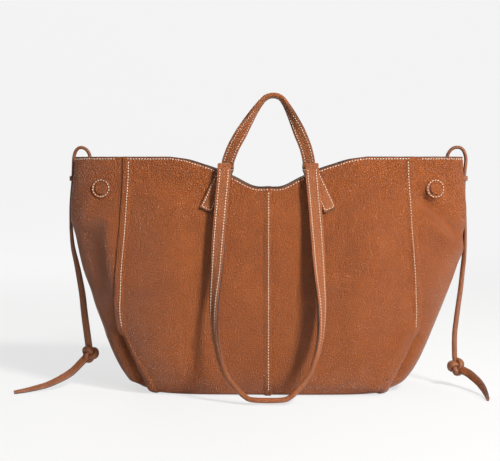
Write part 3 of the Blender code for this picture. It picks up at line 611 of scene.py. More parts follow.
def magnet_steel():
    """Nickel-plated disc: small scuffs in its colour and its gloss."""
    made, tree, shader, place = new_material("magnet_steel")
    scuff = noise(tree, place, 700.0, 6.0, 0.75).outputs["Fac"]
    tree.links.new(ramp(tree, scuff, ((0.3, (0.47, 0.46, 0.45)), (0.7, (0.62, 0.61, 0.60)))),
                   shader.inputs["Base Color"])
    tree.links.new(levels(tree, scuff, 0.3, 0.7, 0.22, 0.42), shader.inputs["Roughness"])
    shader.inputs["Metallic"].default_value = 1.0
    bump(tree, shader, scuff, 0.00004)
    return made


PANEL_LEATHER = leather("panel_leather", (0.300, 0.071, 0.011), (0.343, 0.084, 0.013),
                        (0.388, 0.100, 0.018), 0.32, 0.00190)
STRAP_LEATHER = leather("strap_leather", (0.290, 0.076, 0.015), (0.330, 0.090, 0.019),
                        (0.370, 0.106, 0.025), 0.37, 0.00110, paint_edges=True)
LACE_LEATHER = leather("lace_leather", (0.190, 0.056, 0.017), (0.230, 0.070, 0.021),
                       (0.270, 0.086, 0.028), 0.42, 0.00040, paint_edges=True)
EDGE_PAINT = edge_paint()
SUEDE = suede("inner_suede", (0.155, 0.075, 0.038), (0.240, 0.125, 0.068))
THREAD = thread()
BOARD_FELT = board_felt()
MAGNET_STEEL = magnet_steel()


# Mesh helpers


def add_piece(name, vertices, quads, materials, body, nodes=(), caps=()):
    """A mesh piece from whole arrays, smooth but for sharp edges, riding on a body."""
    mesh = bpy.data.meshes.new(name)
    faces = quads.reshape(-1, 4).tolist() + [list(map(int, cap)) for cap in caps]
    mesh.from_pydata(vertices.reshape(-1, 3).tolist(), [], faces)
    for material in materials:
        mesh.materials.append(material)
    mesh.shade_smooth()
    mesh.set_sharp_from_angle(angle=math.radians(50))
    made = bpy.data.objects.new(name, mesh)
    bpy.context.collection.objects.link(made)
    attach(made, body)
    if nodes:
        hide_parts(*nodes)
    return made


def grid_quads(rows, columns, closed=False, start=0):
    """Corner numbers of the quads of a grid; a closed one joins its last column to its first."""
    corner = start + np.arange(rows * columns).reshape(rows, columns)
    if closed:
        corner = np.hstack((corner, corner[:, :1]))
    return np.stack((corner[:-1, :-1], corner[:-1, 1:], corner[1:, 1:], corner[1:, :-1]), axis=-1)


def facing_quads(points, normals):
    """Grid quads whose winding agrees with the given normals."""
    quads = grid_quads(*points.shape[:2])
    middle = (points.shape[0] // 2, points.shape[1] // 2)
    across = points[middle[0], middle[1] + 1] - points[middle]
    along = points[middle[0] + 1, middle[1]] - points[middle]
    if np.dot(np.cross(across, along), normals[middle]) < 0:
        quads = quads[..., ::-1]
    return quads


def leather_sheet(name, points, normals, thickness, materials, nodes=(), body="bag_body"):
    """A grid of skin points given its thickness inwards: outer face, flesh side and cut edge."""
    made = add_piece(name, points, facing_quads(points, normals), materials, body, nodes)
    wall = made.modifiers.new("thickness", "SOLIDIFY")
    wall.thickness = thickness
    wall.offset = -1.0
    wall.use_even_offset = False
    wall.material_offset = 1
    wall.material_offset_rim = 2
    return made


def swept(centres, across, facing, half_widths, half_depths, ring, power=2.0):
    """Closed rings along a path: each a superellipse of the half width and half depth."""
    angle = np.linspace(0.0, 2 * math.pi, ring, endpoint=False)
    power = np.broadcast_to(np.asarray(power, dtype=float), half_widths.shape)[:, None]
    u = np.sign(np.cos(angle)) * np.abs(np.cos(angle)) ** (2 / power)
    v = np.sign(np.sin(angle)) * np.abs(np.sin(angle)) ** (2 / power)
    return (centres[:, None] + across[:, None] * (u * half_widths[:, None])[..., None]
            + facing[:, None] * (v * half_depths[:, None])[..., None])


def paint_edge(made, amounts):
    """How much edge paint each vertex carries, read by the leather as the attribute paint."""
    layer = made.data.attributes.new("paint", "FLOAT", "POINT")
    layer.data.foreach_set("value", np.ascontiguousarray(amounts, dtype=np.float32).ravel())


def swept_piece(name, rings, materials, body, nodes=(), closed_path=False, paint=None):
    """A tube from its rings, capped at both ends, with its faces turned outwards."""
    count, around = rings.shape[:2]
    loops = np.concatenate((rings, rings[:1])) if closed_path else rings
    quads = grid_quads(count, around, closed=True)
    if closed_path:
        last = np.arange(around)
        join = np.stack((last + (count - 1) * around, np.roll(last, -1) + (count - 1) * around,
                         np.roll(last, -1), last), axis=-1)
        quads = np.concatenate((quads.reshape(-1, 4), join))
    outward = rings[1, 0] - rings[1].mean(axis=0)
    normal = np.cross(loops[1, 1] - loops[1, 0], loops[2, 0] - loops[1, 0])
    turned = np.dot(normal, outward) < 0
    if turned:
        quads = quads.reshape(-1, 4)[:, ::-1]
    caps = []
    if not closed_path:
        first = np.arange(around)
        last = first + (count - 1) * around
        caps = [first, last[::-1]] if turned else [first[::-1], last]
    made = add_piece(name, rings, np.asarray(quads), materials, body, nodes, caps)
    if paint is not None:
        paint_edge(made, paint)
    return made


def smooth_route(points, spacing):
    """Points an even step apart on the smooth curve through the given ones."""
    given = np.array(points, dtype=float)
    padded = np.vstack((2 * given[0] - given[1], given, 2 * given[-1] - given[-2]))
    t = np.linspace(0.0, 1.0, 24, endpoint=False)[:, None]
    pieces = []
    for k in range(1, len(padded) - 2):
        a, b, c, d = padded[k - 1:k + 3]
        pieces.append(0.5 * (2 * b + (c - a) * t + (2 * a - 5 * b + 4 * c - d) * t ** 2
                             + (3 * b - a - 3 * c + d) * t ** 3))
    dense = np.vstack(pieces + [given[-1:]])
    return even_path(dense, spacing)


def path_travel(path):
    return np.concatenate(([0.0], np.cumsum(np.linalg.norm(np.diff(path, axis=0), axis=1))))


def read_along(places, travel, rows):
    """Rows of three values read straight between their neighbours at the given travels."""
    return np.stack([np.interp(places, travel, rows[:, axis]) for axis in range(3)], axis=1)


def even_path(path, spacing):
    travel = path_travel(path)
    count = max(3, int(round(travel[-1] / spacing)) + 1)
    return read_along(np.linspace(0.0, travel[-1], count), travel, path)


# Stitches

STITCH_SIDES = 6
STITCH_BANDS = 5
STITCH_SLANT = math.radians(7)


def stitch_shape():
    """One stitch along x: rings of an ellipse whose size follows the root of a half circle."""
    along = np.linspace(-1.0, 1.0, STITCH_BANDS)
    size = np.sqrt(np.clip(1.0 - (along * 0.96) ** 2, 0.0, None))
    angle = np.linspace(0.0, 2 * math.pi, STITCH_SIDES, endpoint=False)
    x = np.repeat(along[:, None] * STITCH_LENGTH / 2, STITCH_SIDES, axis=1)
    y = size[:, None] * np.cos(angle) * STITCH_WIDTH / 2
    z = size[:, None] * np.sin(angle) * STITCH_HEIGHT
    return np.stack((x, y, z), axis=-1).reshape(-1, 3)


def stitches(name, rows, body="bag_body"):
    """Stitches at one pitch along rows of (path, normals), each lying half in the leather."""
    shape = stitch_shape()
    size = len(shape)
    single = grid_quads(STITCH_BANDS, STITCH_SIDES, closed=True).reshape(-1, 4)
    first = np.arange(STITCH_SIDES)
    centres, forwards, ups = [], [], []
    for path, normals in rows:
        travel = path_travel(path)
        count = max(1, int(travel[-1] // STITCH_PITCH))
        places = (np.arange(count) + 0.5) * travel[-1] / count
        ahead = read_along(places + STITCH_PITCH / 4, travel, path)
        behind = read_along(places - STITCH_PITCH / 4, travel, path)
        centres.append(read_along(places, travel, path))
        forwards.append(unit(ahead - behind))
        ups.append(unit(read_along(places, travel, normals)))
    centre, forward, up = (np.concatenate(part) for part in (centres, forwards, ups))
    side = unit(np.cross(up, forward))
    forward = np.cross(side, up)
    turned = forward * math.cos(STITCH_SLANT) + side * math.sin(STITCH_SLANT)
    side = np.cross(up, turned)
    points = (centre[:, None] + shape[None, :, :1] * turned[:, None]
              + shape[None, :, 1:2] * side[:, None] + shape[None, :, 2:] * up[:, None])
    offsets = np.arange(len(centre))[:, None, None] * size
    quads = (single[None, :, ::-1] + offsets).reshape(-1, 4)
    starts = np.arange(len(centre))[:, None] * size
    last = first[::-1] + (STITCH_BANDS - 1) * STITCH_SIDES
    caps = np.concatenate((first[None] + starts, last[None] + starts))
    return add_piece(name, points, quads, [THREAD], body, caps=caps)


# Walls of the bag


def edge_round(from_edge):
    """Fall of a turned edge: the radius less the root of its square less the reach squared."""
    reach = np.clip(EDGE_ROUND - from_edge, 0.0, EDGE_ROUND)
    return EDGE_ROUND - np.sqrt(np.maximum(EDGE_ROUND ** 2 - reach ** 2, 0.0))


def groove(distance):
    """Thread pulls the leather down: depth times exp(-(distance over width) squared)."""
    return STITCH_GROOVE * np.exp(-(distance / STITCH_GROOVE_WIDTH) ** 2)


SEAM_STITCH_INSET = 0.0072
CENTRE_STITCH_INSET = 0.0032
SEAM_STITCH_FOOT = 0.080
CENTRE_STITCH_FOOT = 0.008
STITCH_HEAD = 0.005
GROOVE_START = 0.006
ROW_CROWDING = 0.92
WING_THREAD_START = 0.90
WING_THREAD_END = 0.06
BEAD_SINK = 0.0001
FACING_GAP = 0.0001
BASE_RING_STATIONS = 192
BASE_INNER_SHARE = 0.06


def half_panel_columns(laps_centre):
    """Column places of half a face: (share of the seam's distance, shift, lap amount, past edge)."""
    edge_steps = EDGE_ROUND * (1.0 - np.cos(np.linspace(0.0, math.pi / 2, 6)))
    seam_lap = SEAM_LAP - edge_steps[::-1]
    ramp = np.linspace(-UNDERLAP - LAP_RAMP, -UNDERLAP, 7)
    inner_first = UNDERLAP + LAP_RAMP if laps_centre else -UNDERLAP
    share = np.linspace(0.0, 1.0, PANEL_COLUMNS)
    shift = inner_first + (ramp[0] - inner_first) * share
    seam_shift = np.concatenate((ramp[1:], np.linspace(0.0, seam_lap[0], 5)[:-1], seam_lap))
    seam_shift = np.unique(np.round(seam_shift, 7))
    shares = [share, np.ones(len(seam_shift))]
    shifts = [shift, seam_shift]
    if laps_centre:
        centre = np.unique(np.round(np.concatenate((
            -CENTRE_LAP + edge_steps, np.linspace(-CENTRE_LAP + EDGE_ROUND, UNDERLAP, 6),
            np.linspace(UNDERLAP, UNDERLAP + LAP_RAMP, 7)[:-1])), 7))
        shares.insert(0, np.zeros(len(centre)))
        shifts.insert(0, centre)
    share, shift = np.concatenate(shares), np.concatenate(shifts)
    at_seam = share == 1.0
    lap = np.where(at_seam, smooth_step((shift + UNDERLAP + LAP_RAMP) / LAP_RAMP), 0.0)
    fall = np.where(at_seam, edge_round(SEAM_LAP - shift), 0.0)
    if laps_centre:
        at_centre = share == 0.0
        lap = np.where(at_centre, smooth_step((UNDERLAP + LAP_RAMP - shift) / LAP_RAMP), lap)
        fall = np.where(at_centre, edge_round(shift + CENTRE_LAP), fall)
    return share, shift, lap, fall


def panel_surface(side, hand, laps_centre, share, shift, lap, fall, rise):
    """Points and normals of half a face: the skin, lifted at its laps and drawn in by its thread."""
    rim = rim_height(share * seam_half_spacing(BAG_HEIGHT) + shift)
    z = FOOT_LEVEL + rise[:, None] * (rim[None] - FOOT_LEVEL)
    x = share[None] * seam_half_spacing(z) + shift[None]
    points, normals = face_skin(hand * x, z, side)
    seam_row = np.where(share == 1.0, groove(SEAM_LAP - shift - SEAM_STITCH_INSET), 0.0)[None]
    seam_row = seam_row * smooth_step((z - SEAM_STITCH_FOOT) / GROOVE_START)
    rim_row = groove(rim[None] - z - STITCH_FROM_EDGE)
    lift = lap * LAP_LIFT - fall
    height = lift[None] - seam_row - rim_row
    if laps_centre:
        height = height - np.where(share == 0.0, groove(shift + CENTRE_LAP - CENTRE_STITCH_INSET), 0.0)[None]
    return points + normals * height[..., None], normals


def half_panel(name, side, hand, laps_centre, node):
    """Half of the front or back, from the centre seam to the wing seam."""
    rise = np.linspace(0.0, 1.0, PANEL_ROWS) ** ROW_CROWDING
    points, normals = panel_surface(side, hand, laps_centre, *half_panel_columns(laps_centre), rise)
    leather_sheet(name, points, normals, WALL, (PANEL_LEATHER, SUEDE, EDGE_PAINT), (node,))
    edge_bead(name + "_rim", points, normals)


def edge_bead(name, points, normals):
    """Painted bead on the top edge, over the wall and the facing behind it: an ellipse swept along."""
    top = points[-1]
    up = unit(points[-1] - points[-3])
    inward = -unit(normals[-1] - up * (normals[-1] * up).sum(axis=1, keepdims=True))
    centres = top + inward * (RIM_BEAD_WIDTH / 2 - BEAD_SINK) - up * BEAD_SINK
    half = np.full(len(top), RIM_BEAD_WIDTH / 2)
    rings = swept(centres, inward, up, half, np.full(len(top), RIM_BEAD_HEIGHT / 2), 14, 2.4)
    swept_piece(name, rings, [EDGE_PAINT], "bag_body")


def side_panel(name, hand, node):
    """A wing with its gusset, one sheet from the front seam round to the back seam."""
    u = np.linspace(-1.0, 1.0, WING_COLUMNS)[None]
    rise = np.linspace(0.0, 1.0, PANEL_ROWS)[:, None] ** ROW_CROWDING
    z = FOOT_LEVEL + rise * (BAG_HEIGHT - FOOT_LEVEL)
    points, normals = wing_skin(u, z, hand)
    points = points - normals * groove(BAG_HEIGHT - z - STITCH_FROM_EDGE)[..., None]
    leather_sheet(name, points, normals, WALL, (PANEL_LEATHER, SUEDE, EDGE_PAINT), (node,))
    inner = slice(4, -4)
    edge_bead(name + "_rim", points[:, inner], normals[:, inner])


def facing(name, points, normals, node):
    """Strip of leather sewn inside the rim, a little below its edge."""
    sunk = points - normals * (WALL + FACING_GAP)
    leather_sheet(name, sunk, normals, FACING_THICKNESS, (SUEDE, SUEDE, EDGE_PAINT), (node,))


def face_facing(name, side):
    edge = seam_half_spacing(BAG_HEIGHT) - UNDERLAP - CLEARANCE
    x = np.linspace(-edge, edge, 2 * PANEL_COLUMNS)
    z = (rim_height(x) - FACING_SETBACK / 2)[None] - FACING_DEPTH * np.linspace(1.0, 0.0, 9)[:, None]
    facing(name + "_suede", *face_skin(x[None], z, side), name)


def end_facing(name, hand):
    z = BAG_HEIGHT - FACING_SETBACK / 2 - FACING_DEPTH * np.linspace(1.0, 0.0, 9)[:, None]
    facing(name + "_suede", *wing_skin(np.linspace(-0.98, 0.98, WING_COLUMNS)[None], z, hand), name)


def base_sheet():
    """The bottom: a superellipse plate whose edge turns up in a quarter round."""
    angle = np.linspace(0.0, 2 * math.pi, BASE_RING_STATIONS, endpoint=False)
    turn = np.linspace(0.0, math.pi / 2, 5)
    drawn_in = BASE_INSET + LEATHER * (1.0 - np.sin(turn))
    climb = LEATHER / 2 * (1.0 - np.cos(turn))
    insets = np.concatenate((drawn_in, drawn_in[::-1]))
    heights = np.concatenate((climb, LEATHER - climb[::-1]))
    fill = np.linspace(BASE_INNER_SHARE, 1.0, 14)[:-1]
    scale = np.concatenate((fill, np.ones(len(insets)), fill[::-1]))
    inset = np.pad(insets, len(fill), mode="edge")
    level = np.pad(heights, len(fill), mode="edge")
    round_x = np.sign(np.cos(angle)) * np.abs(np.cos(angle)) ** (2 / BASE_CORNER_POWER)
    round_y = np.sign(np.sin(angle)) * np.abs(np.sin(angle)) ** (2 / BASE_CORNER_POWER)
    x = ((BASE_LENGTH / 2 - inset) * scale)[:, None] * round_x
    y = ((BASE_DEPTH / 2 - inset) * scale)[:, None] * round_y
    rings = np.stack((x, y, np.broadcast_to(level[:, None], x.shape)), axis=-1)
    swept_piece("base_leather", rings, [PANEL_LEATHER], "bag_body", ("base_panel",))


def rim_stitches(name, side):
    """Row of thread under the rim of one side, across both halves and both wings."""
    rows = []
    for hand, laps in ((-1, True), (1, False)):
        share, shift, lap, _ = half_panel_columns(laps)
        keep = slice(8, -8) if laps else slice(0, -8)
        share, shift, lap = share[keep], shift[keep], lap[keep]
        x = share * seam_half_spacing(BAG_HEIGHT) + shift
        points, normals = face_skin(hand * x, rim_height(x) - STITCH_FROM_EDGE, side)
        rows.append((points + normals * (lap * LAP_LIFT - STITCH_GROOVE)[:, None], normals))
        u = np.linspace(-WING_THREAD_START, -WING_THREAD_END, 80) * -side
        points, normals = wing_skin(u, BAG_HEIGHT - STITCH_FROM_EDGE, hand)
        rows.append((points - normals * STITCH_GROOVE, normals))
    stitches(name, rows)


def seam_stitches(name, side):
    """Rows of thread down both wing seams and the centre seam of one side."""
    rows = []
    for hand in (-1, 1):
        z = np.linspace(SEAM_STITCH_FOOT, BAG_HEIGHT - STITCH_HEAD, 120)
        x = seam_half_spacing(z) + SEAM_LAP - SEAM_STITCH_INSET
        points, normals = face_skin(hand * x, z, side)
        rows.append((points + normals * (LAP_LIFT - STITCH_GROOVE), normals))
    z = np.linspace(CENTRE_STITCH_FOOT, float(rim_height(0.0)) - STITCH_HEAD, 110)
    points, normals = face_skin(CENTRE_LAP - CENTRE_STITCH_INSET, z, side)
    rows.append((points + normals * (LAP_LIFT - STITCH_GROOVE), normals))
    stitches(name, rows)


# Buttons


BUTTON_EDGE_ROUND = 0.0008
BUTTON_CORE = 0.0004
VALLEY_RADIUS = 1.06 * BOSS_RADIUS
BOSS_FLANK = 0.16 * BOSS_RADIUS
BOSS_ZONE = 1.25 * BOSS_RADIUS
DISH_RADIUS = 0.6 * BOSS_RADIUS
DISH_DEPTH = 0.00035
VALLEY_DEPTH = 0.0008
VALLEY_WIDTH = 0.0008
RING_INSET = 0.0018
RING_DEPTH = 0.00025
RING_WIDTH = 0.0005
RING_THREAD_SINK = 0.0002


def button(name, hand, side, node):
    """Round sewn cover: flat stitched ring, a shallow valley and a raised disc with a faint dish.

    Height over the wing is the leather less its rounded edge, plus the disc's smooth step,
    less bells at the middle, the valley and the stitched ring.
    """
    disc = np.linspace(BUTTON_CORE, BOSS_ZONE, 26)
    edge = BUTTON_RADIUS - BUTTON_EDGE_ROUND * (1 - np.cos(np.linspace(0, math.pi / 2, 7)))[::-1]
    radius = np.concatenate((disc, np.linspace(BOSS_ZONE, edge[0], 7)[1:-1], edge))
    angle = np.linspace(0.0, 2 * math.pi, 96, endpoint=False)
    centre = hand * BUTTON_FROM_CENTRE
    x = centre + radius[:, None] * np.cos(angle)
    z = BUTTON_HEIGHT + radius[:, None] * np.sin(angle)
    skin, _ = face_skin(x, z, side)
    _, normal = face_skin(centre, BUTTON_HEIGHT, side)
    past = np.clip(radius - BUTTON_RADIUS + BUTTON_EDGE_ROUND, 0.0, BUTTON_EDGE_ROUND)
    fall = BUTTON_EDGE_ROUND - np.sqrt(np.maximum(BUTTON_EDGE_ROUND ** 2 - past ** 2, 0.0))
    height = SEAT_GAP + BUTTON_LEATHER - fall
    height = height + BOSS_HEIGHT * smooth_step((VALLEY_RADIUS - radius) / BOSS_FLANK)
    height = height - DISH_DEPTH * np.exp(-(radius / DISH_RADIUS) ** 2)
    height = height - VALLEY_DEPTH * np.exp(-((radius - VALLEY_RADIUS) / VALLEY_WIDTH) ** 2)
    height = height - RING_DEPTH * np.exp(-((radius - BUTTON_RADIUS + RING_INSET) / RING_WIDTH) ** 2)
    points = np.concatenate((skin + normal * height[:, None, None], skin[-1:]))
    rings = points[::-1] if hand * side < 0 else points
    swept_piece(name, rings, [PANEL_LEATHER], "bag_body", (node,))
    ring = BUTTON_RADIUS - RING_INSET
    around = np.linspace(0.0, 2 * math.pi, 97)
    path, _ = face_skin(centre + ring * np.cos(around), BUTTON_HEIGHT + ring * np.sin(around), side)
    rise = SEAT_GAP + BUTTON_LEATHER - RING_THREAD_SINK
    return path + normal * rise, np.broadcast_to(normal, path.shape)


# Handles


def fold_axis_depth():
    skin = float(face_depth(np.array(FOLD_HALF_SPACING), np.array(FOLD_HEIGHT)))
    return skin + SEAT_GAP + FOLD_RADIUS


def shoulder_leg():
    """Right leg of the long strap, from the fold axis forward and down to the floor."""
    drop = FOLD_HEIGHT - CLEARANCE - GRIP_WIDTH / 2
    reach = SHOULDER_LOOP_REACH - fold_axis_depth()
    leg = [(FOLD_HALF_SPACING, 0.0, 0.0), (FOLD_HALF_SPACING, -FOLD_RADIUS * 0.75, -FOLD_RADIUS * 0.5)]
    leg += [(SHOULDER_LOOP_HALF_WIDTH * w, -reach * r, -drop * d)
            for w, d, r in zip(LOOP_WIDTH_SHARES, LOOP_DROP_SHARES, LOOP_REACH_SHARES)]
    return leg


def carry_leg():
    """Right leg of the short handle, from the fold axis up and in to the arch."""
    lean = FOLD_RADIUS - STRAP_THICKNESS / 2
    leg = [(FOLD_HALF_SPACING, 0.0, 0.0), (FOLD_HALF_SPACING, -lean * 0.6, FOLD_RADIUS * 0.9)]
    leg += [(FOLD_HALF_SPACING * w, -lean, CARRY_ARCH_RISE * r)
            for w, r in zip(ARCH_WIDTH_SHARES, ARCH_RISE_SHARES)]
    return leg


FOLD_START = 0.12
FOLD_BEAD_SHARE = 0.98
FLAT_POWER = 6.5
GRIP_POWER = 2.6
SEWN_GRIP = 0.72
SEWN_START = 2.2 * FOLD_RADIUS
HANDLE_THREAD_SINK = 0.0001
GRIP_THREAD_SINK = 0.0016
PAINT_START = 0.93
PAINT_RAMP = 0.06
PAINT_FLAT = 0.85
PAINT_GRIP_LOSS = 0.55


def handle(name, side, leg, lean, turn, turn_shares, body):
    """A strap whose legs mirror each other: flat and stitched by its folds, rounder at the grip.

    Its section is a superellipse: square at the flat legs and nearly round in the middle, with
    the width and thickness of the solid. The edge paint covers the outer tenth of the width.
    """
    axis = np.array([0.0, side * fold_axis_depth(), FOLD_HEIGHT])
    right = np.array(leg) + axis
    lead = right[1] - right[0]
    right = np.vstack((right[0] - lead * FOLD_RADIUS / np.linalg.norm(lead), right))
    left = right * np.array([-1.0, 1.0, 1.0])
    route = np.vstack((right, left[::-1]))
    route[:, 0] += lean * np.maximum(route[:, 2] - FOLD_HEIGHT, 0.0) / CARRY_ARCH_RISE
    dense = smooth_route(route, FOLD_RADIUS / 8)
    travel = path_travel(dense)
    length = travel[-1]
    fold = FOLD_RADIUS * (1.0 - np.cos(np.linspace(FOLD_START, math.pi - FOLD_START, 12)))
    middle = np.linspace(fold[-1], length - fold[-1], int(length / STRAP_STEP))[1:-1]
    stations = np.concatenate((fold, middle, length - fold[::-1]))
    centres = read_along(stations, travel, dense)
    from_end = np.minimum(stations, length - stations)
    share = from_end / length
    angle = turn * np.interp(share, np.linspace(0.0, 0.5, len(turn_shares)), turn_shares)
    tangents = unit(np.gradient(centres, stations, axis=0))
    outer = np.cross(tangents, np.array([0.0, 1.0, 0.0]))
    outer *= np.sign((outer * (centres - centres.mean(axis=0))).sum(axis=1, keepdims=True))
    facing = np.cos(angle)[:, None] * np.array([0.0, float(side), 0.0]) + np.sin(angle)[:, None] * outer
    facing = unit(facing - tangents * (facing * tangents).sum(axis=1, keepdims=True))
    across = np.cross(facing, tangents)
    grip = np.interp(2 * share, GRIP_SHARES, GRIP_AMOUNT_SHARES)
    width = STRAP_WIDTH + (GRIP_WIDTH - STRAP_WIDTH) * grip
    bead = 2 * np.sqrt(np.clip(FOLD_RADIUS ** 2 - (from_end - FOLD_RADIUS) ** 2, 0.0, None))
    strap_thick = STRAP_THICKNESS + (GRIP_THICKNESS - STRAP_THICKNESS) * grip
    thick = np.maximum(strap_thick * smooth_step(from_end / FOLD_RADIUS), bead * FOLD_BEAD_SHARE)
    power = FLAT_POWER - (FLAT_POWER - GRIP_POWER) * smooth_step(grip)
    rings = swept(centres, across, facing, width / 2, thick / 2, STRAP_RING, power)
    turnings = np.linspace(0.0, 2 * math.pi, STRAP_RING, endpoint=False)
    u = np.abs(np.cos(turnings)[None]) ** (2 / power[:, None])
    v = np.abs(np.sin(turnings)[None]) ** (2 / power[:, None])
    line = smooth_step((u - PAINT_START) / PAINT_RAMP) * (1.0 - smooth_step((v - 0.55) / 0.35))
    paint = line * (PAINT_FLAT - PAINT_GRIP_LOSS * grip[:, None])
    swept_piece(name + "_leather", rings, [STRAP_LEATHER], body, (name,), paint=paint)
    rows = []
    half = len(stations) // 2
    sewn = (grip < SEWN_GRIP) & (from_end > SEWN_START)
    for one_leg in (np.flatnonzero(sewn[:half]), half + np.flatnonzero(sewn[half:])):
        for face in (-1.0, 1.0):
            for edge in (-1.0, 1.0):
                reach = edge * (width / 2 - HANDLE_STITCH_INSET)
                height = face * (thick / 2 - HANDLE_THREAD_SINK - GRIP_THREAD_SINK * grip ** 2)
                path = centres + across * reach[:, None] + facing * height[:, None]
                rows.append((path[one_leg], facing[one_leg] * face))
    stitches(name + "_thread", rows, body)


def tab_place(across, rise):
    """Where a point of a tab lies on a face: its slanted strip leans out from the fold."""
    top = FOLD_HEIGHT - FOLD_RADIUS - TAB_TOP_GAP
    foot = FOLD_HEIGHT - TAB_FOOT_DROP
    lean = math.atan2(TAB_FOOT_SPREAD, top - foot) * (1.0 - rise) ** 0.5
    x = FOLD_HALF_SPACING + TAB_FOOT_SPREAD * (1.0 - rise) + across * np.cos(lean)
    return x, foot + (top - foot) * rise + across * np.sin(lean)


TAB_ROUND = 0.0009
TAB_RISE = 0.0029
TAB_CROWN = 0.0003
TAB_CROWN_START = 0.002
TAB_CROWN_RAMP = 0.004
TAB_THREAD_HEAD = 0.001


def tab(name, hand, side):
    """Sewn end of a handle: a strip laid on the wall, its painted edges rounded, its face crowned."""
    steps = TAB_ROUND * (1.0 - np.cos(np.linspace(0.0, math.pi / 2, 6)))
    half = STRAP_WIDTH / 2
    middle = np.linspace(-half + TAB_ROUND, half - TAB_ROUND, 22)
    across = np.concatenate((-half + steps, middle, half - steps))
    across = np.unique(np.round(across, 7))[None]
    length = math.hypot(TAB_FOOT_DROP - FOLD_RADIUS, TAB_FOOT_SPREAD)
    rise = np.unique(np.concatenate((steps / length, np.linspace(TAB_ROUND / length, 1.0, 60))))[:, None]
    x, z = tab_place(across, rise)
    points, normals = face_skin(hand * x, z, side)
    from_edge = np.minimum(half - np.abs(across), rise * length)
    reach = np.clip(TAB_ROUND - from_edge, 0.0, TAB_ROUND)
    fall = TAB_ROUND - np.sqrt(np.maximum(TAB_ROUND ** 2 - reach ** 2, 0.0))
    sewn = groove(from_edge - STITCH_FROM_EDGE)
    crown = TAB_CROWN * smooth_step((from_edge - TAB_CROWN_START) / TAB_CROWN_RAMP)
    height = SEAT_GAP + TAB_RISE - fall - sewn + crown
    made = leather_sheet(name + "_leather", points + normals * height[..., None], normals, TAB_RISE,
                         (STRAP_LEATHER, SUEDE, EDGE_PAINT), (name,))
    paint_edge(made, smooth_step((TAB_ROUND * 0.62 - from_edge) / (TAB_ROUND * 0.5)))
    inset = half - STITCH_FROM_EDGE
    up = np.linspace(STITCH_FROM_EDGE / length, 1.0 - TAB_THREAD_HEAD / length, 90)
    over = np.linspace(-inset, inset, 40)
    rows = []
    for strip, climb in ((-inset, up), (inset, up), (over, STITCH_FROM_EDGE / length)):
        x, z = tab_place(strip, climb)
        points, normals = face_skin(hand * x, z, side)
        rows.append((points + normals * (SEAT_GAP + TAB_RISE - STITCH_GROOVE), normals))
    return rows


# Laces


def beside_wing(route, hand):
    """Route points at the wing of that hand, from their table of distances and height shares."""
    return [(hand * (BAG_WIDTH / 2 + out), depth, rise * BAG_HEIGHT) for out, depth, rise in route]


LACE_WIDTH = 0.0058
LACE_LOW_WIDTHS = {"left": 0.0090, "right": 0.0064}
LACE_THICKNESS = 0.0042
LACE_KEPT_WIDTH = 0.0050
LACE_KEPT_ZONE = 0.010
LACE_OUTSIDE = 0.004
KNOT_ZONE = 0.010
TAIL_THINNING = 0.72
TAIL_FACING = (0.25, 0.8, 0.75)


def lace(wing, hand, route, centre, end):
    """One lace from its anchor through the keeper and the knot to its flat tapered tail.

    The section is an ellipse as wide as the lace, turning from across the wing to face the
    front as it falls, and squarer and wider from the knot on, narrowing with the square of
    the way to the tip.
    """
    path = smooth_route(beside_wing((*route, centre, *end), hand), LACE_STEP)
    knot_centre = np.array(beside_wing([centre], hand)[0])
    travel = path_travel(path)
    at_knot = travel[np.argmin(np.linalg.norm(path - knot_centre, axis=1))]
    tail_share = np.clip((travel - at_knot) / (travel[-1] - at_knot), 0.0, 1.0)
    on_tail = smooth_step((travel - at_knot) / KNOT_ZONE)
    outside = np.abs(path[:, 0]) > BAG_WIDTH / 2 - LACE_OUTSIDE
    kept = np.where(outside, np.exp(-((path[:, 2] - KEEPER_LEVEL) / LACE_KEPT_ZONE) ** 2), 0.0)
    fallen = smooth_step((travel / at_knot - 0.30) / 0.62)
    lace_width = LACE_WIDTH - (LACE_WIDTH - LACE_KEPT_WIDTH) * kept
    lace_width = lace_width + (LACE_LOW_WIDTHS[wing] - LACE_WIDTH) * fallen
    tail_width = TAIL_ROOT_WIDTH + (TAIL_TIP_WIDTH - TAIL_ROOT_WIDTH) * tail_share ** 2
    tail_root = TAIL_ROOT_THICKNESS * TAIL_THINNING
    tail_thick = tail_root + (TAIL_TIP_THICKNESS - tail_root) * tail_share
    width = lace_width + (tail_width - lace_width) * on_tail
    thick = LACE_THICKNESS + (tail_thick - LACE_THICKNESS) * on_tail
    tangents = unit(np.gradient(path, travel, axis=0))
    turned = smooth_step((travel / at_knot - 0.28) / 0.50)[:, None]
    over = np.array([0.0, 1.0, 0.0]) * (1 - turned) + np.array([-1.0, 0.15, 0.0]) * turned
    over = over * (1 - on_tail[:, None]) + np.array(TAIL_FACING) * (hand, 1.0, 1.0) * on_tail[:, None]
    across = unit(over - tangents * (over * tangents).sum(axis=1, keepdims=True))
    facing = np.cross(tangents, across)
    rings = swept(path, across, facing, width / 2, thick / 2, LACE_RING, 2.3 + 1.9 * on_tail)
    turnings = np.linspace(0.0, 2 * math.pi, LACE_RING, endpoint=False)
    paint = smooth_step((np.abs(np.cos(turnings)) - 0.90) / 0.08)[None] * (0.35 + 0.65 * on_tail[:, None])
    cord = swept_piece("side_lace_" + wing + "_leather", rings, [LACE_LEATHER], "bag_body",
                       ("side_lace_" + wing, "lace_tail_" + wing), paint=paint)
    tied = knot(wing, hand, knot_centre)


KNOT_LOOP = 0.0026
KNOT_RISE = 0.0030
KNOT_BAND_WIDTH = 0.0098
KNOT_BAND_THICKNESS = 0.0066
KNOT_TALLER = 1.1
KNOT_SPIN = math.radians(24.0)


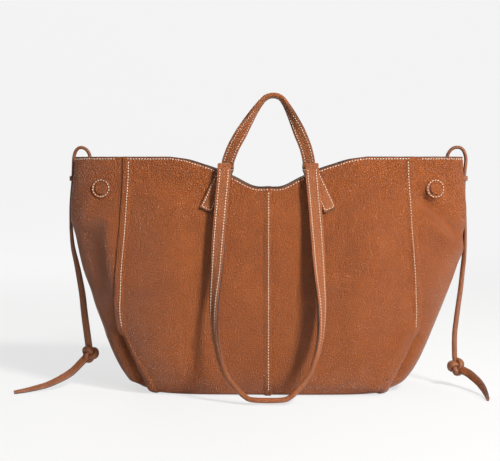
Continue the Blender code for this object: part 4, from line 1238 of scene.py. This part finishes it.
def knot(wing, hand, centre):
    """A tight overhand knot: sin t + 2 sin 2t across, -sin 3t in depth, cos t - 2 cos 2t up.

    It is a little taller than wide and spun in the plane of the front, so its crossings face
    the front. Its band is wide and thick enough to fill the middle.
    """
    t = np.linspace(0.0, 2 * math.pi, 150, endpoint=False)
    shape = np.stack((KNOT_LOOP * (np.sin(t) + 2 * np.sin(2 * t)), -KNOT_RISE * np.sin(3 * t),
                      KNOT_LOOP * KNOT_TALLER * (np.cos(t) - 2 * np.cos(2 * t))), axis=1)
    cosine, sine = math.cos(KNOT_SPIN * hand), math.sin(KNOT_SPIN * hand)
    points = shape @ np.array([[cosine, 0.0, -sine], [0.0, 1.0, 0.0], [sine, 0.0, cosine]]).T
    tangents = unit(np.roll(points, -1, axis=0) - np.roll(points, 1, axis=0))
    outward = unit(points + np.array([0.0, 1e-6, 0.0]))
    facing = unit(outward - tangents * (outward * tangents).sum(axis=1, keepdims=True))
    across = np.cross(facing, tangents)
    count = len(points)
    rings = swept(points + centre, across, facing, np.full(count, KNOT_BAND_WIDTH / 2),
                  np.full(count, KNOT_BAND_THICKNESS / 2), 16, 2.4)
    paint = np.zeros(rings.shape[:2])
    return swept_piece("lace_knot_" + wing + "_leather", rings, [LACE_LEATHER], "bag_body",
                       ("lace_knot_" + wing,), closed_path=True, paint=paint)


KEEPER_HEIGHT = 0.006
KEEPER_LEATHER = 0.0014
KEEPER_BAND_GAP = 0.0004
KEEPER_LEVEL = BAG_HEIGHT - 0.026
KEEPER_SEARCH = 0.012
KEEPER_RING = 20
KEEPER_POWER = 4.0
ANCHOR_POWER = 0.35


def keeper(wing, hand, route):
    """Leather band from the wing's pleat round the lace and back: two straights and a half circle."""
    bend = LACE_DIAMETER / 2 + KEEPER_BAND_GAP + KEEPER_LEATHER / 2
    dense = smooth_route(beside_wing(route, 1), LACE_DIAMETER / 4)
    outside = dense[dense[:, 0] > BAG_WIDTH / 2 - KEEPER_SEARCH]
    reach = outside[np.argmin(np.abs(outside[:, 2] - KEEPER_LEVEL)), 0]
    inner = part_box("lace_keeper_" + wing)
    wall = inner[0][0] if hand > 0 else -inner[1][0]
    turn = np.linspace(math.pi / 2, -math.pi / 2, 25)
    run = np.linspace(wall, reach, 12)[:-1]
    x = np.concatenate((run, reach + bend * np.cos(turn), run[::-1]))
    y = np.concatenate((np.full(11, bend), bend * np.sin(turn), np.full(11, -bend)))
    centres = np.stack((hand * x, y, np.full(len(x), KEEPER_LEVEL)), axis=1)
    tangents = unit(np.gradient(centres, axis=0))
    across = np.broadcast_to(np.array([0.0, 0.0, 1.0]), centres.shape)
    facing = unit(np.cross(tangents, across))
    count = len(centres)
    rings = swept(centres, across, facing, np.full(count, KEEPER_HEIGHT / 2),
                  np.full(count, KEEPER_LEATHER / 2), KEEPER_RING, KEEPER_POWER)
    turnings = np.linspace(0.0, 2 * math.pi, KEEPER_RING, endpoint=False)
    paint = np.broadcast_to(smooth_step((np.abs(np.cos(turnings)) - 0.88) / 0.08)[None], rings.shape[:2])
    swept_piece("lace_keeper_" + wing + "_leather", rings, [LACE_LEATHER], "bag_body",
                ("lace_keeper_" + wing,), paint=paint)


def anchor(wing):
    """Folded leather block inside the wing: a superellipsoid of its CAD box with squared sides."""
    low, high = (np.array(corner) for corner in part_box("lace_anchor_" + wing))
    centre, half = (low + high) / 2, (high - low) / 2
    rise = np.linspace(-math.pi / 2, math.pi / 2, 26)[1:-1]
    around = np.linspace(0.0, 2 * math.pi, 40, endpoint=False)
    lift = np.sign(np.sin(rise)) * np.abs(np.sin(rise)) ** ANCHOR_POWER
    girth = np.cos(rise)[:, None] ** ANCHOR_POWER
    u = np.sign(np.cos(around)) * np.abs(np.cos(around)) ** ANCHOR_POWER
    v = np.sign(np.sin(around)) * np.abs(np.sin(around)) ** ANCHOR_POWER
    rings = centre + np.stack(np.broadcast_arrays(girth * u, girth * v, lift[:, None]), axis=-1) * half
    swept_piece("lace_anchor_" + wing + "_leather", rings, [SUEDE], "bag_body",
                ("lace_anchor_" + wing,))


# Assembly


def build_walls():
    for place, side in (("front", -1), ("back", 1)):
        half_panel(place + "_left_leather", side, -1, True, place + "_panel_left")
        half_panel(place + "_right_leather", side, 1, False, place + "_panel_right")
        face_facing(place + "_rim_facing", side)
        rim_stitches(place + "_rim_thread", side)
        seam_stitches(place + "_seam_thread", side)
    for wing, hand in (("left", -1), ("right", 1)):
        side_panel(wing + "_wing_leather", hand, wing + "_side_panel")
        end_facing(wing + "_rim_facing", hand)
    base_sheet()


def build_buttons():
    for place, side in (("front", -1), ("back", 1)):
        rows = []
        for wing, hand in (("left", -1), ("right", 1)):
            node = place + "_" + wing + "_button_cover"
            rows.append(button(node + "_leather", hand, side, node))
        stitches(place + "_button_thread", rows)


def build_handles():
    for place, side in (("shoulder_strap", -1), ("carry_handle", 1)):
        rows = []
        for wing, hand in (("left", -1), ("right", 1)):
            rows += tab(place + "_tab_" + wing, hand, side)
        stitches(place + "_tab_thread", rows)
    handle("shoulder_strap", -1, shoulder_leg(), 0.0, LOOP_TURN, LOOP_TURN_SHARES, "shoulder_strap_body")
    handle("carry_handle", 1, carry_leg(), CARRY_ARCH_LEAN, ARCH_TURN, ARCH_TURN_SHARES, "carry_handle_body")


def build_laces():
    for wing, hand, route, centre, end in (("left", -1, LACE_ROUTE_LEFT, KNOT_LEFT, TAIL_ROUTE_LEFT),
                                           ("right", 1, LACE_ROUTE_RIGHT, KNOT_RIGHT, TAIL_ROUTE_RIGHT)):
        lace(wing, hand, route, centre, end)
        keeper(wing, hand, route)
        anchor(wing)


def dress_nodes():
    """The carried-over solids: the base board and the four magnets get their own finishes."""
    finishes = {"base_board": BOARD_FELT}
    for place in ("front", "back"):
        for wing in ("left", "right"):
            finishes[place + "_" + wing + "_magnet"] = MAGNET_STEEL
    for name, material in finishes.items():
        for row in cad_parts[name].material_slots:
            row.material = material


# Stage, light and camera

FLOOR_COLOUR = (0.78, 0.78, 0.78)
BACKDROP_COLOUR = (0.925, 0.925, 0.925)
FLOOR_GLOW = 0.72
BACKDROP_GLOW = 0.95


def stage_material():
    """Pale floor and backdrop: part of their brightness is their own to the camera's rays."""
    made, tree, shader, place = new_material("stage")
    tone = noise(tree, place, 3.0, 2.0).outputs["Fac"]
    tree.links.new(ramp(tree, tone, ((0.3, FLOOR_COLOUR), (0.7, tuple(c * 1.005 for c in FLOOR_COLOUR)))),
                   shader.inputs["Base Color"])
    shader.inputs["Roughness"].default_value = 0.9
    shader.inputs["Specular IOR Level"].default_value = 0.0
    glow = tree.nodes.new("ShaderNodeEmission")
    glow.inputs["Color"].default_value = (*BACKDROP_COLOUR, 1.0)
    rays = tree.nodes.new("ShaderNodeLightPath")
    share = tree.nodes.new("ShaderNodeMixShader")
    split = tree.nodes.new("ShaderNodeSeparateXYZ")
    tree.links.new(place, split.inputs["Vector"])
    part = levels(tree, split.outputs["Y"], 0.6, 2.2, FLOOR_GLOW, BACKDROP_GLOW)
    seen = combine(tree, "MULTIPLY", rays.outputs["Is Camera Ray"], part)
    tree.links.new(seen, share.inputs["Fac"])
    tree.links.new(shader.outputs["BSDF"], share.inputs[1])
    tree.links.new(glow.outputs["Emission"], share.inputs[2])
    tree.links.new(share.outputs["Shader"], tree.nodes["Material Output"].inputs["Surface"])
    return made


def build_stage():
    """A floor that sweeps up behind in a wide curve: a profile carried across."""
    reach, back, radius = 6.0, 3.2, 1.2
    turn = np.linspace(0.0, math.pi / 2, 24)
    y = np.concatenate(([-reach], back - radius + radius * np.sin(turn), [back]))
    z = np.concatenate(([0.0], radius - radius * np.cos(turn), [5.0])) - 0.0004
    x = np.array([-reach, reach])
    points = np.stack(np.broadcast_arrays(x[None], y[:, None], z[:, None]), axis=-1)
    mesh = bpy.data.meshes.new("floor")
    mesh.from_pydata(points.reshape(-1, 3).tolist(), [], grid_quads(len(y), 2).reshape(-1, 4).tolist())
    mesh.materials.append(stage_material())
    mesh.shade_smooth()
    floor = bpy.data.objects.new("floor", mesh)
    bpy.context.collection.objects.link(floor)


def area_light(name, place, aim, size, power, colour):
    data = bpy.data.lights.new(name, "AREA")
    data.shape = "RECTANGLE"
    data.size, data.size_y = size
    data.energy = power
    data.color = colour
    lamp = bpy.data.objects.new(name, data)
    lamp.location = place
    lamp.rotation_euler = (Vector(aim) - Vector(place)).to_track_quat("-Z", "Y").to_euler()
    bpy.context.collection.objects.link(lamp)


def build_light():
    area_light("key_light", (1.15, -1.20, 1.65), (0.0, 0.0, 0.14), (0.34, 0.34), 60.0, (1.0, 0.985, 0.96))
    area_light("side_light", (1.30, -1.75, 0.62), (0.08, 0.0, 0.16), (0.45, 0.40), 27.0, (1.0, 0.99, 0.97))
    area_light("top_light", (0.1, -0.2, 2.2), (0.0, 0.0, 0.1), (2.0, 1.4), 5.0, (1.0, 1.0, 1.0))
    area_light("back_light", (-0.9, 2.0, 1.3), (0.0, 0.0, 0.15), (1.4, 1.0), 26.0, (1.0, 1.0, 1.0))
    area_light("fill_light", (-1.8, -1.9, 0.9), (0.0, 0.0, 0.15), (1.6, 1.4), 0.8, (0.98, 0.99, 1.0))
    world = bpy.data.worlds.new("studio")
    bpy.context.scene.world = world
    world.use_nodes = True
    tree = world.node_tree
    even = tree.nodes["Background"]
    even.inputs["Color"].default_value = (0.95, 0.97, 1.0, 1.0)
    even.inputs["Strength"].default_value = 0.09
    seen = tree.nodes.new("ShaderNodeBackground")
    seen.inputs["Color"].default_value = (*BACKDROP_COLOUR, 1.0)
    rays = tree.nodes.new("ShaderNodeLightPath")
    share = tree.nodes.new("ShaderNodeMixShader")
    tree.links.new(rays.outputs["Is Camera Ray"], share.inputs["Fac"])
    tree.links.new(even.outputs["Background"], share.inputs[1])
    tree.links.new(seen.outputs["Background"], share.inputs[2])
    tree.links.new(share.outputs["Shader"], tree.nodes["World Output"].inputs["Surface"])


def build_camera():
    """Camera square to the front, turned so the bag's centre and the horizon fall on their pixels."""
    data = bpy.data.cameras.new("camera")
    data.sensor_width = SENSOR_WIDTH
    data.lens = FOCAL_PIXELS / PHOTO_WIDTH * SENSOR_WIDTH
    data.clip_end = 30.0
    camera = bpy.data.objects.new("camera", data)
    camera.location = (0.0, -CAMERA_DISTANCE, CAMERA_HEIGHT)
    tilt = math.atan((PHOTO_HEIGHT / 2 - HORIZON_PIXEL) / FOCAL_PIXELS)
    pan = math.atan((CENTRE_PIXEL - PHOTO_WIDTH / 2) / FOCAL_PIXELS)
    camera.rotation_euler = (math.pi / 2 - tilt, 0.0, pan)
    bpy.context.collection.objects.link(camera)
    bpy.context.scene.camera = camera
    bpy.context.scene.view_settings.view_transform = "Standard"


build_camera()
build_laces()
build_walls()
build_buttons()
build_handles()
dress_nodes()
build_stage()
build_light()
